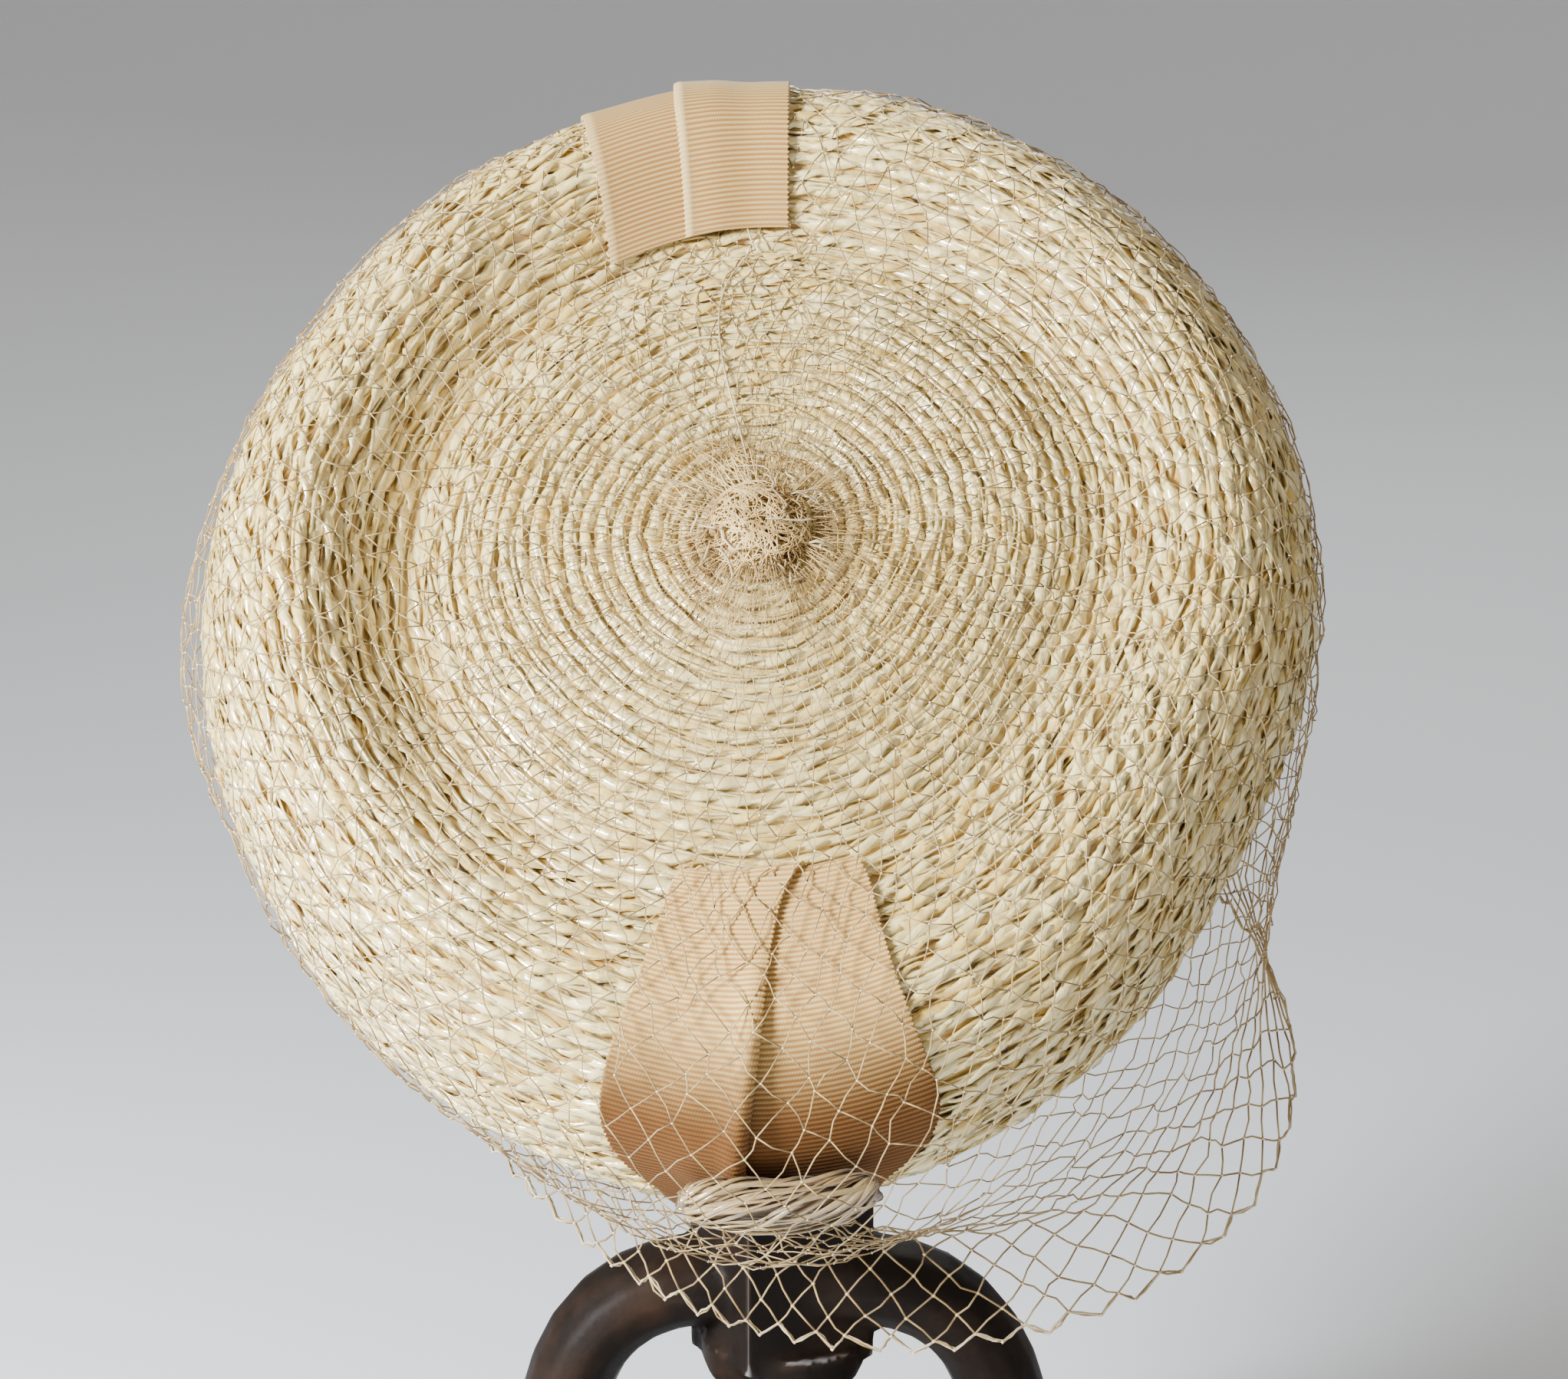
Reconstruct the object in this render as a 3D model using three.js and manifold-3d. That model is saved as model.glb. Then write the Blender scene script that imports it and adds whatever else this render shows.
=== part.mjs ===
// A round straw hat with a puffed rim, ribbon trim and a net veil, on the iron stand that carries it.
// Millimetres, +Z up, the front of the hat towards -Y, the origin on the floor under the middle.
import * as THREE from 'three';
import { mergeVertices } from 'three/addons/utils/BufferGeometryUtils.js';
import Module from 'manifold-3d';

const wasm = await Module();
wasm.setup();

// ---- Driving dimensions ----
const GAP = 0.4;               // air between pieces that lie on each other
const TIP_AT = [0, -30.5, 250]; // the centre of the hat's tip, from the origin
const HAT_TILT = 53;           // degrees that the tip leans forward
const WALL = 2.2;              // the sewn straw
const CROWN_DEPTH = 84;        // from the tip down to the edge of the head opening
const AROUND = 40;             // facets round the crown

const RIBBON = 1.0;            // the thickness of a ribbon
const SEAT = 0.8;              // how far a ribbon lies off the straw
const RIBBON_ROWS = 18;        // facets along a ribbon
const RIBBON_COLUMNS = 4;      // facets across it

// A strand of the veil, half the size of its knots, and its height off the straw.
const NET = { thickness: 0.9, knot: 1.17, lift: 2.0 };
const NET_AROUND = 16;         // strands each way round the veil
const NET_ROWS = [0.045, 0.9, 2.6, 4.2, 5.8, 7.6];  // where its knots lie, in places down the net
const HEM_ROWS = [7.77, 8.93];  // the same for its free hem, which starts just below the last row

const TUFT = { radius: 15, height: 9 };
const LOOP = { from: -14, to: 22, step: 6.65, half: 6.2, height: 9 };

const STAND_AT = { x: 5, y: 2.5 };  // the post's axis on the floor
const POST = { radius: 20, foot: 52, chamfer: 8 };
const KEEL = { flat: 10, radius: 19, height: 12 };
const ARM = { thick: 20, wide: 28, reach: 52, crown: 77, root: 14, shoulder: 36, knee: 38 };
const FOOT = { length: 160, wide: 46, thick: 9 };

// The post's faceted section, with its sharp edge to the front.
const POST_SECTION = [
  { across: -21, back: 2 },
  { across: -8, back: -20 },
  { across: 20, back: -6 },
  { across: 20, back: 12 },
  { across: 4, back: 20 },
  { across: -21, back: 12 },
];

// Round the hat, counted from its right side over the back: the widest radius of the rim, how deep
// the groove inside the rim is, the height of the rim's crest over the tip, the radius of the opening.
const SIDES = [
  { widest: 119.5, groove: 7, crest: -3, opening: 86 },   // right
  { widest: 124.0, groove: 8, crest: -2, opening: 89 },
  { widest: 127.0, groove: 9, crest: 0, opening: 95 },
  { widest: 127.0, groove: 10, crest: 1, opening: 98 },   // back
  { widest: 122.5, groove: 12, crest: 2, opening: 95 },
  { widest: 118.5, groove: 13, crest: 2, opening: 89 },
  { widest: 119.5, groove: 14, crest: 2, opening: 86 },   // left
  { widest: 121.5, groove: 12, crest: 1, opening: 89 },
  { widest: 127.0, groove: 8, crest: -1, opening: 95 },
  { widest: 131.0, groove: 4, crest: -3, opening: 98 },   // front
  { widest: 124.0, groove: 5, crest: -3, opening: 95 },
  { widest: 115.5, groove: 6, crest: -3, opening: 89 },
];

// The free hem of the veil: how far it stands out from the opening's edge, and hangs below it.
const HEM = [
  { out: 8, drop: 28 },   // right
  { out: 6, drop: 26 },
  { out: 6, drop: 22 },   // back
  { out: 5, drop: 25 },
  { out: 6, drop: 27 },   // left
  { out: 2, drop: 27 },
  { out: 11, drop: 34 },  // front
  { out: 57, drop: 11 },
];

// Down the net, from its gathered middle to the hem: the step down the crown's profile that each
// place lies over, and how much of the hem's flare and hang it has.
const VEIL_PLACES = [
  { step: 0.62, flare: 0, hang: 0 },
  { step: 2, flare: 0, hang: 0 },
  { step: 3, flare: 0, hang: 0 },
  { step: 5, flare: 0, hang: 0 },
  { step: 6, flare: 0, hang: 0 },
  { step: 7, flare: 0.05, hang: 0 },
  { step: 8, flare: 0.25, hang: 0 },
  { step: 9, flare: 0.55, hang: 0 },
  { step: 10, flare: 0.85, hang: 0.2 },
  { step: 10, flare: 1, hang: 1 },
];

// Each ribbon by rows: the step down the crown's profile, and its two edges beside the middle line.
const RIBBONS = [
  { name: 'back_ribbon_under', middle: 90, layer: 0, rows: [
    { step: 4.15, from: 11, to: 34 },
    { step: 5.2, from: 12, to: 39 },
    { step: 6.6, from: 13, to: 41 },
    { step: 8.2, from: 12, to: 37 },
    { step: 9.7, from: 10, to: 33 },
  ] },
  { name: 'back_ribbon_over', middle: 90, layer: 1, rows: [
    { step: 4.15, from: -6, to: 17 },
    { step: 5.2, from: -6, to: 19 },
    { step: 6.6, from: -6, to: 19 },
    { step: 8.2, from: -6, to: 18 },
    { step: 9.7, from: -6, to: 17 },
  ] },
  { name: 'front_ribbon_right', middle: 270, layer: 0, rows: [
    { step: 3.3, from: 4, to: 19 },
    { step: 4.4, from: 1, to: 24 },
    { step: 5.3, from: -3, to: 31 },
    { step: 6.1, from: -4, to: 36 },
    { step: 6.6, from: -2, to: 34 },
    { step: 7.1, from: 2, to: 25 },
    { step: 8.2, from: 3, to: 20 },
    { step: 9.6, from: 3, to: 18 },
  ] },
  { name: 'front_ribbon_left', middle: 270, layer: 1, rows: [
    { step: 3.3, from: -14, to: 10 },
    { step: 4.4, from: -20, to: 3 },
    { step: 5.3, from: -28, to: 0 },
    { step: 6.1, from: -31, to: -2 },
    { step: 6.6, from: -28, to: -2 },
    { step: 7.1, from: -20, to: 4 },
    { step: 8.2, from: -14, to: 6 },
    { step: 9.6, from: -12, to: 5 },
  ] },
];

// ---- Helpers ----
const radians = THREE.MathUtils.degToRad;
const degrees = THREE.MathUtils.radToDeg;

// A smooth curve from b to c, with a and d as their neighbours.
function smooth(a, b, c, d, part) {
  const bend = 2 * a - 5 * b + 4 * c - d;
  const turn = 3 * b - a - 3 * c + d;
  return 0.5 * (2 * b + (c - a) * part + bend * part ** 2 + turn * part ** 3);
}

// A column of a table whose rows go evenly round the hat.
function roundTable(table, column, angle) {
  const place = THREE.MathUtils.euclideanModulo(angle, 360) * table.length / 360;
  const row = Math.floor(place);
  const at = (offset) => table[(row + offset + table.length) % table.length][column];
  return smooth(at(-1), at(0), at(1), at(2), place - row);
}

// A column of a table whose rows are placed by their own step.
function stepTable(table, column, step) {
  const last = table.length - 1;
  const row = Math.min(table.findLastIndex((entry) => entry.step <= step), last - 1);
  const at = (index) => table[THREE.MathUtils.clamp(index, 0, last)][column];
  const part = (step - table[row].step) / (table[row + 1].step - table[row].step);
  return smooth(at(row - 1), at(row), at(row + 1), at(row + 2), part);
}

// One at the middle of a window and zero at its ends.
function swell(distance, reach) {
  return Math.abs(distance) < reach ? Math.cos(distance / reach * Math.PI / 2) ** 2 : 0;
}

// One closed body from loose triangles: equal corners are merged and flat triangles dropped.
function closedBody(triangles) {
  const loose = new THREE.BufferGeometry().setFromPoints(triangles.flat());
  const merged = mergeVertices(loose, 1e-4);
  const index = [];
  const all = merged.index.array;
  for (let i = 0; i < all.length; i += 3) {
    const [a, b, c] = [all[i], all[i + 1], all[i + 2]];
    if (a !== b && b !== c && c !== a) index.push(a, b, c);
  }
  merged.setIndex(index);
  if (volume(merged) < 0) merged.setIndex(index.reverse());
  return merged;
}

function volume(geometry) {
  const at = geometry.attributes.position;
  const corner = (i) => new THREE.Vector3().fromBufferAttribute(at, geometry.index.array[i]);
  let sum = 0;
  for (let i = 0; i < geometry.index.count; i += 3) {
    sum += corner(i).dot(corner(i + 1).cross(corner(i + 2))) / 6;
  }
  return sum;
}

const quad = (a, b, c, d) => [[a, b, c], [a, c, d]];

// The skin of a grid of points, whose rows and columns may each close on themselves.
function gridSkin(grid, { aroundRows = false, aroundColumns = false } = {}) {
  const rows = grid.length;
  const columns = grid[0].length;
  const triangles = [];
  for (let i = 0; i < (aroundRows ? rows : rows - 1); i += 1) {
    for (let j = 0; j < (aroundColumns ? columns : columns - 1); j += 1) {
      const [i2, j2] = [(i + 1) % rows, (j + 1) % columns];
      triangles.push(...quad(grid[i][j], grid[i2][j], grid[i2][j2], grid[i][j2]));
    }
  }
  return triangles;
}

// A body through closed rings of points, with its ends closed.
function loft(rings) {
  const sum = (ring) => ring.reduce((total, point) => total.add(point), new THREE.Vector3());
  const middle = (ring) => sum(ring).divideScalar(ring.length);
  const ends = [rings[0], rings.at(-1)].map((ring) => ring.map(() => middle(ring)));
  return closedBody(gridSkin([ends[0], ...rings, ends[1]], { aroundColumns: true }));
}

function toManifold(geometry) {
  const bare = geometry.clone();
  bare.deleteAttribute('normal');
  bare.deleteAttribute('uv');
  const merged = mergeVertices(bare, 1e-4);
  const vertProperties = Float32Array.from(merged.attributes.position.array);
  const triVerts = Uint32Array.from(merged.index.array);
  return new wasm.Manifold(new wasm.Mesh({ numProp: 3, vertProperties, triVerts }));
}

function fuse(geometries) {
  const joined = geometries.map(toManifold).reduce((sum, next) => sum.add(next));
  const { vertProperties, triVerts } = joined.getMesh();
  const fused = new THREE.BufferGeometry();
  fused.setAttribute('position', new THREE.BufferAttribute(Float32Array.from(vertProperties), 3));
  fused.setIndex([...triVerts]);
  return fused;
}

function piece(name, geometry, color, roughness, metalness = 0) {
  geometry.computeVertexNormals();
  const mesh = new THREE.Mesh(geometry, new THREE.MeshStandardMaterial({ color, roughness, metalness }));
  mesh.name = name;
  return mesh;
}

// ---- The crown's form, in the hat's own frame: +Z out of the tip, +Y to the back ----

// The outside profile at an angle: 0 tip centre, 4 groove, 5 crest, 7 widest, 10 opening.
function profile(angle) {
  const [widest, groove, crest, opening] = ['widest', 'groove', 'crest', 'opening']
    .map((column) => roundTable(SIDES, column, angle));
  return [
    [0, 0],
    [0.25 * widest, -0.5],
    [0.46 * widest, -2.5],
    [0.57 * widest, -5 - 0.2 * groove],
    [0.4 * widest + 28, -groove],
    [widest - 23, crest],
    [widest - 6.5, crest - 12],
    [widest, -0.4 * CROWN_DEPTH],
    [widest - 4, -0.65 * CROWN_DEPTH],
    [widest - 15, -0.87 * CROWN_DEPTH],
    [opening, -CROWN_DEPTH],
  ];
}

// Radius and height at a step down the profile.
function profileAt(rows, step) {
  const last = rows.length - 1;
  const row = Math.min(Math.floor(step), last - 1);
  const before = row > 0 ? rows[row - 1] : [-rows[1][0], rows[1][1]];
  const after = row + 2 <= last ? rows[row + 2] : [0, 1].map((k) => 2 * rows[last][k] - rows[last - 1][k]);
  return [0, 1].map((k) => smooth(before[k], rows[row][k], rows[row + 1][k], after[k], step - row));
}

// A point on the crown's outside, or lifted off it.
function onCrown(angle, step, lift = 0) {
  const rows = profile(angle);
  const [radius, height] = profileAt(rows, step);
  const a = profileAt(rows, Math.max(step - 0.02, 0));
  const b = profileAt(rows, Math.min(step + 0.02, 10));
  const run = Math.hypot(b[0] - a[0], b[1] - a[1]);
  const out = radius + lift * (a[1] - b[1]) / run;
  const up = height + lift * (b[0] - a[0]) / run;
  const turn = radians(angle);
  return new THREE.Vector3(out * Math.cos(turn), out * Math.sin(turn), up);
}

// The same, at a distance beside a middle line that runs down the crown.
function besideLine(middle, beside, step, lift) {
  const radius = profileAt(profile(middle), step)[0];
  return onCrown(middle + degrees(Math.asin(beside / radius)), step, lift);
}

function crown() {
  const rim = [2.6, 3, 3.35, 3.7, 4, 4.35, 4.7, 5, 5.35, 5.7, 6];
  const outside = [0, 1, 2, ...rim, 6.5, 7, 7.5, 8, 8.5, 9, 9.5, 10];
  const inside = [10, 9, 8, 7, 6, 5.5, 5, 4.5, 4, 3.5, 3, 2, 1, 0];
  const tipInside = new THREE.Vector3(0, 0, -WALL);
  const grid = [];
  for (let i = 0; i < AROUND; i += 1) {
    const angle = i * 360 / AROUND;
    const outer = outside.map((step) => onCrown(angle, step));
    const inner = inside.map((step) => (step > 0 ? onCrown(angle, step, -WALL) : tipInside));
    grid.push([...outer, ...inner]);
  }
  return closedBody(gridSkin(grid, { aroundRows: true }));
}

// ---- Ribbons, the straw loop and the tuft ----
function ribbon({ middle, layer, rows }) {
  const lift = SEAT + layer * (RIBBON + GAP);
  const [first, last] = [rows[0].step, rows.at(-1).step];
  const sheet = (height) => Array.from({ length: RIBBON_ROWS + 1 }, (_, i) => {
    const step = THREE.MathUtils.lerp(first, last, i / RIBBON_ROWS);
    const [from, to] = ['from', 'to'].map((column) => stepTable(rows, column, step));
    return Array.from({ length: RIBBON_COLUMNS + 1 }, (_, j) => (
      besideLine(middle, THREE.MathUtils.lerp(from, to, j / RIBBON_COLUMNS), step, height)));
  });
  const [under, over] = [sheet(lift), sheet(lift + RIBBON)];
  const rings = under.map((row, i) => [...row, ...over[i].reverse()]);
  const size = rings[0].length;
  const cap = (ring) => Array.from({ length: RIBBON_COLUMNS }, (_, j) => (
    quad(ring[j], ring[j + 1], ring[size - 2 - j], ring[size - 1 - j]))).flat();
  const farCap = cap(rings.at(-1)).map(([a, b, c]) => [a, c, b]);
  return closedBody([...cap(rings[0]), ...gridSkin(rings, { aroundColumns: true }), ...farCap]);
}

// The bundle of straw that holds the front ribbons, flat on its back, with rounded ends.
function strawLoop() {
  const stations = 12;
  const sides = 12;
  const stepLength = 23;
  const floor = SEAT + 2 * (RIBBON + GAP);
  const rings = Array.from({ length: stations + 1 }, (_, i) => {
    const part = i / stations;
    const beside = THREE.MathUtils.lerp(LOOP.from, LOOP.to, 0.5 - 0.5 * Math.cos(part * Math.PI));
    const size = Math.max(Math.sin(part * Math.PI), 0.12) ** 0.5;
    return Array.from({ length: sides }, (_, j) => {
      const turn = j / sides * 2 * Math.PI;
      const along = LOOP.half * size * Math.cos(turn) / stepLength;
      const lift = floor + LOOP.height / 2 * (1 + size * Math.sin(turn));
      return besideLine(270, beside, LOOP.step + along, lift);
    });
  });
  return loft(rings);
}

// The gathered middle of the net: a low lumpy heap.
function tuft() {
  const levels = 6;
  const sides = 20;
  const rings = Array.from({ length: levels }, (_, i) => {
    const rise = i / levels;
    return Array.from({ length: sides }, (_, j) => {
      const turn = j / sides * 2 * Math.PI;
      const lump = 1 + 0.07 * Math.sin(3 * turn + 4 * rise) + 0.05 * Math.cos(5 * turn - 7 * rise);
      const radius = TUFT.radius * lump * Math.sqrt(1 - rise ** 2);
      return new THREE.Vector3(radius * Math.cos(turn), radius * Math.sin(turn), GAP + TUFT.height * rise);
    });
  });
  return loft(rings);
}

// ---- The veil: a coarse net over the crown, with a free hem ----
function veilLift(angle, place) {
  const front = THREE.MathUtils.euclideanModulo(angle - 272 + 180, 360) - 180;
  const back = THREE.MathUtils.euclideanModulo(angle - 98 + 180, 360) - 180;
  const overRibbons = 3.4 * Math.max(swell(front, 44), swell(back, 46));
  const overLoop = 11 * swell(front, 30) * swell(place - 4.7, 2);
  return NET.lift + overRibbons + overLoop;
}

// Guides from the gathered middle to the hem. The net runs straight over the groove.
function veilGuides(angle) {
  const turn = radians(angle);
  const out = new THREE.Vector3(Math.cos(turn), Math.sin(turn), 0)
    .multiplyScalar(roundTable(HEM, 'out', angle));
  const down = new THREE.Vector3(0, -Math.sin(radians(HAT_TILT)), -Math.cos(radians(HAT_TILT)))
    .multiplyScalar(roundTable(HEM, 'drop', angle));
  return VEIL_PLACES.map(({ step, flare, hang }, place) => (
    onCrown(angle, step, veilLift(angle, place))
      .addScaledVector(out, flare)
      .addScaledVector(down, hang)));
}

// A point on the net's inner side.
function onVeil(angle, place) {
  const guides = veilGuides(angle);
  const row = THREE.MathUtils.clamp(Math.floor(place), 0, guides.length - 2);
  const at = (index) => guides[THREE.MathUtils.clamp(index, 0, guides.length - 1)];
  const [a, b, c, d] = [at(row - 1), at(row), at(row + 1), at(row + 2)];
  return new THREE.Vector3(...['x', 'y', 'z'].map((k) => smooth(a[k], b[k], c[k], d[k], place - row)));
}

// The same, lifted square off the net, also where it hangs free.
function offVeil(angle, place, height) {
  const around = onVeil(angle + 0.5, place).sub(onVeil(angle - 0.5, place));
  const onward = onVeil(angle, Math.min(place + 0.02, 9)).sub(onVeil(angle, Math.max(place - 0.02, 0)));
  return onVeil(angle, place).addScaledVector(onward.cross(around).normalize(), height);
}

// Rows of knots and the strands between them. The first row has a ring of strands where the net is
// gathered, the last one where it has its hem, and the knots are closed on a side with neither.
function net(rows, { firstRow = 0, gathered = false, hemmed = false }) {
  const triangles = [];
  const pitch = 360 / NET_AROUND;
  const radius = (place) => onCrown(0, Math.min(place + 0.9, 10)).setZ(0).length();
  const spread = (place) => degrees(NET.knot / radius(place));
  const placeLength = (place) => (place < 1 ? 26 : 16.4);
  const rise = (place) => NET.knot / placeLength(place);
  const shift = (row) => (firstRow + row) % 2;

  // The four corners of the knot where two strands cross.
  function knot(row, index) {
    const place = rows[row];
    const angle = (index + shift(row) / 2) * pitch;
    return {
      left: [angle - spread(place), place],
      right: [angle + spread(place), place],
      up: [angle, Math.max(place - rise(place), 0)],
      down: [angle, Math.min(place + rise(place), 9)],
    };
  }

  const lerp = (a, b, part) => [0, 1].map((k) => THREE.MathUtils.lerp(a[k], b[k], part));
  const lower = (p) => onVeil(p[0], p[1]);
  const upper = (p) => offVeil(p[0], p[1], NET.thickness);

  // A length of strand between two knots, open at its ends.
  function strand(a, a2, b, b2, parts) {
    const rings = Array.from({ length: parts + 1 }, (_, i) => {
      const [left, right] = [lerp(a, a2, i / parts), lerp(b, b2, i / parts)];
      return [lower(left), lower(right), upper(right), upper(left)];
    });
    triangles.push(...gridSkin(rings, { aroundColumns: true }));
  }

  const wall = (p, q) => triangles.push(...quad(lower(q), lower(p), upper(p), upper(q)));

  const last = rows.length - 1;
  for (let row = 0; row <= last; row += 1) {
    for (let index = 0; index < NET_AROUND; index += 1) {
      const here = knot(row, index);
      const corners = [here.left, here.down, here.right, here.up];
      triangles.push(...quad(...corners.map(lower)));
      triangles.push(...quad(...corners.map(upper).reverse()));
      const next = knot(row, index + 1);
      if (row === 0 && gathered) {
        strand(here.right, next.left, here.up, next.up, 1);
      } else if (row === 0) {
        wall(here.right, here.up);
        wall(here.up, here.left);
      }
      if (row === last && hemmed) {
        strand(here.down, next.down, here.right, next.left, 2);
      } else if (row === last) {
        wall(here.left, here.down);
        wall(here.down, here.right);
      } else {
        const toRight = knot(row + 1, index + shift(row));
        const toLeft = knot(row + 1, index - 1 + shift(row));
        const parts = row === 0 ? 2 : 3;
        strand(here.down, toRight.left, here.right, toRight.up, parts);
        strand(here.left, toLeft.up, here.down, toLeft.right, parts);
      }
    }
  }
  return closedBody(triangles);
}

// ---- The stand ----
function stand() {
  const tilt = radians(HAT_TILT);
  const { x, y } = STAND_AT;

  // The round head of the post reaches up to the inside of the tip, and just clears it.
  const behind = y - TIP_AT[1];
  const reachIn = (Math.sin(tilt) * behind - POST.radius - 2 * GAP - WALL) / Math.cos(tilt);
  const head = TIP_AT[2] + reachIn;
  const neck = 50;

  const corners = POST_SECTION.map(({ across, back }) => new THREE.Vector2(x + across, y + back));
  const start = POST.foot + POST.chamfer;
  const shaft = { depth: head - start, bevelEnabled: false };
  const column = new THREE.ExtrudeGeometry(new THREE.Shape(corners), shaft);
  column.translate(0, 0, start);

  const dome = new THREE.Path();
  dome.moveTo(0, -neck).lineTo(POST.radius, -neck).lineTo(POST.radius, 0);
  dome.absarc(0, 0, POST.radius, 0, Math.PI / 2, false);
  const top = new THREE.LatheGeometry(dome.getPoints(6), 24);
  top.rotateX(Math.PI / 2).translate(x, y, head);

  const keel = new THREE.Path();
  keel.moveTo(0, 0).lineTo(KEEL.flat, 0);
  keel.quadraticCurveTo(KEEL.radius, 0, KEEL.radius, KEEL.height).lineTo(0, KEEL.height);
  const bottom = new THREE.LatheGeometry(keel.getPoints(4), 24);
  bottom.rotateX(Math.PI / 2).translate(x, y, POST.foot);

  const arms = [-1, 1].map((side) => {
    const route = new THREE.CurvePath();
    const place = (across, height) => new THREE.Vector3(x + side * across, y, height);
    const root = place(ARM.root, ARM.crown);
    const knee = place(ARM.reach - 1, ARM.knee);
    const shoulder = [place(ARM.shoulder, ARM.crown), place(ARM.reach - 3, ARM.crown - 12)];
    route.add(new THREE.LineCurve3(place(ARM.root - 10, ARM.crown), root));
    route.add(new THREE.CubicBezierCurve3(root, ...shoulder, knee));
    route.add(new THREE.LineCurve3(knee, place(ARM.reach, FOOT.thick / 2)));
    const oval = new THREE.Shape().absellipse(0, 0, ARM.thick / 2, ARM.wide / 2, 0, 2 * Math.PI);
    return new THREE.ExtrudeGeometry(oval, { extrudePath: route, steps: 14, curveSegments: 6 });
  });

  const feet = [-1, 1].map((side) => {
    const sole = new THREE.Shape();
    const half = FOOT.length / 2;
    const toe = FOOT.wide / 2;
    const heel = toe - 4;  // the foot is a little narrower at the back
    sole.absarc(x + side * ARM.reach, y - half + toe, toe, Math.PI, 2 * Math.PI, false);
    sole.absarc(x + side * ARM.reach, y + half - heel, heel, 0, Math.PI, false);
    return new THREE.ExtrudeGeometry(sole, { depth: FOOT.thick, bevelEnabled: false, curveSegments: 8 });
  });
  return fuse([column, top, bottom, ...arms, ...feet]);
}

// ---- The whole thing ----
const hat = new THREE.Group();
hat.position.set(...TIP_AT);
hat.rotation.x = radians(HAT_TILT);
hat.add(piece('crown', crown(), 0xe6d9b4, 0.55));
for (const entry of RIBBONS) hat.add(piece(entry.name, ribbon(entry), 0xdcbb8c, 0.8));
hat.add(piece('straw_loop', strawLoop(), 0xe9dcb8, 0.5));
hat.add(piece('veil_tuft', tuft(), 0xc9a878, 0.9));
hat.add(piece('veil', net(NET_ROWS, { gathered: true }), 0xc8b088, 0.8));
const hem = net(HEM_ROWS, { firstRow: NET_ROWS.length - 1, hemmed: true });
hat.add(piece('veil_hem', hem, 0xc8b088, 0.8));

const group = new THREE.Group();
group.add(hat);
group.add(piece('stand', stand(), 0x2a2523, 0.55, 0.7));

export default group;
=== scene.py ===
# %% [markdown]
# # A veiled straw hat on its iron stand
#
# The hat is a round, puffed shape of glossy twisted straw, trimmed with ribbed ribbon and covered by a
# fine net. It hangs on a small iron stand, with its tip leaning forward. The construction model holds
# the real sizes and places. This file gives each of its pieces the surface of the real thing, and
# builds the fine strands that a solid can't show.

# %% The frame
import math

import bpy
import numpy as np
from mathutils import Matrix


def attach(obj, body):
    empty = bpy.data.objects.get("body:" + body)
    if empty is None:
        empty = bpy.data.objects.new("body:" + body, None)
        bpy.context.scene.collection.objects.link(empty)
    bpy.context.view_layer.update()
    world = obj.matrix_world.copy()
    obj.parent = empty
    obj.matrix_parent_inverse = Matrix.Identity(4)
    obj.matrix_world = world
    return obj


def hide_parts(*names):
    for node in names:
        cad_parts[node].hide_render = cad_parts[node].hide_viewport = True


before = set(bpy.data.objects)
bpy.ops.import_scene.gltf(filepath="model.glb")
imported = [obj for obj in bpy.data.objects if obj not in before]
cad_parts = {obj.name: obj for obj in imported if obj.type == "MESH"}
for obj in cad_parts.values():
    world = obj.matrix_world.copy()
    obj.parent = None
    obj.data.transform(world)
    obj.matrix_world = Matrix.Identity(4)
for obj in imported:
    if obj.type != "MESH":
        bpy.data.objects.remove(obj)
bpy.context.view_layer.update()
bpy.ops.object.select_all(action="DESELECT")

# %% [markdown]
# ## Driving sizes
#
# All lengths are in metres, and the hat has a frame of its own: +Z out of the tip, +Y to the back. These
# sizes are the same as the construction model's, so that what is made here fits what it replaces.

# %% Sizes and places
MM = 0.001
TIP_AT = np.array((0, -30.5, 250)) * MM
HAT_TILT = math.radians(53)
WALL = 2.2 * MM
CROWN_DEPTH = 84 * MM
rng = np.random.default_rng(11)


def to_world(points):
    """Points of the hat's own frame, leaned forward and put in their place on the stand."""
    turn = np.array((
        (1, 0, 0),
        (0, math.cos(HAT_TILT), -math.sin(HAT_TILT)),
        (0, math.sin(HAT_TILT), math.cos(HAT_TILT)),
    ))
    return points @ turn.T + TIP_AT


# %% [markdown]
# ## The camera
#
# It looks at the tip from the front, a little from above, from 0.75 m away. It is aimed a few degrees
# lower than the tip, so that the tip sits above the middle of the picture.

# %% Camera
SIGHT_LINE = math.radians(7.5)
AIM = math.radians(10)
DISTANCE = 0.75
TIP_OFFSET = 5 * MM
LENS = 82.95  # millimetres, for a sensor 36 mm wide

bpy.ops.object.camera_add()
camera = bpy.context.object
camera.name = "camera"
camera.location = (
    TIP_OFFSET,
    TIP_AT[1] - DISTANCE * math.cos(SIGHT_LINE),
    TIP_AT[2] + DISTANCE * math.sin(SIGHT_LINE),
)
camera.rotation_euler = (math.pi / 2 - AIM, 0, 0)
camera.data.sensor_width = 36
camera.data.lens = LENS
camera.data.clip_start = 0.01
bpy.context.scene.camera = camera
print("camera at", [round(v, 3) for v in camera.location])

# %% [markdown]
# ## The studio
#
# A pale floor that curves up all round, so that no edge shows, a small strong light close by at the left,
# and weaker, larger ones from the right and from behind. The key light comes from the side: it brings out
# the gloss of the straw and leaves the groove's left side in shade. It is a little cool, and the light
# from all round is warm, as in a room with one window.

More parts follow.
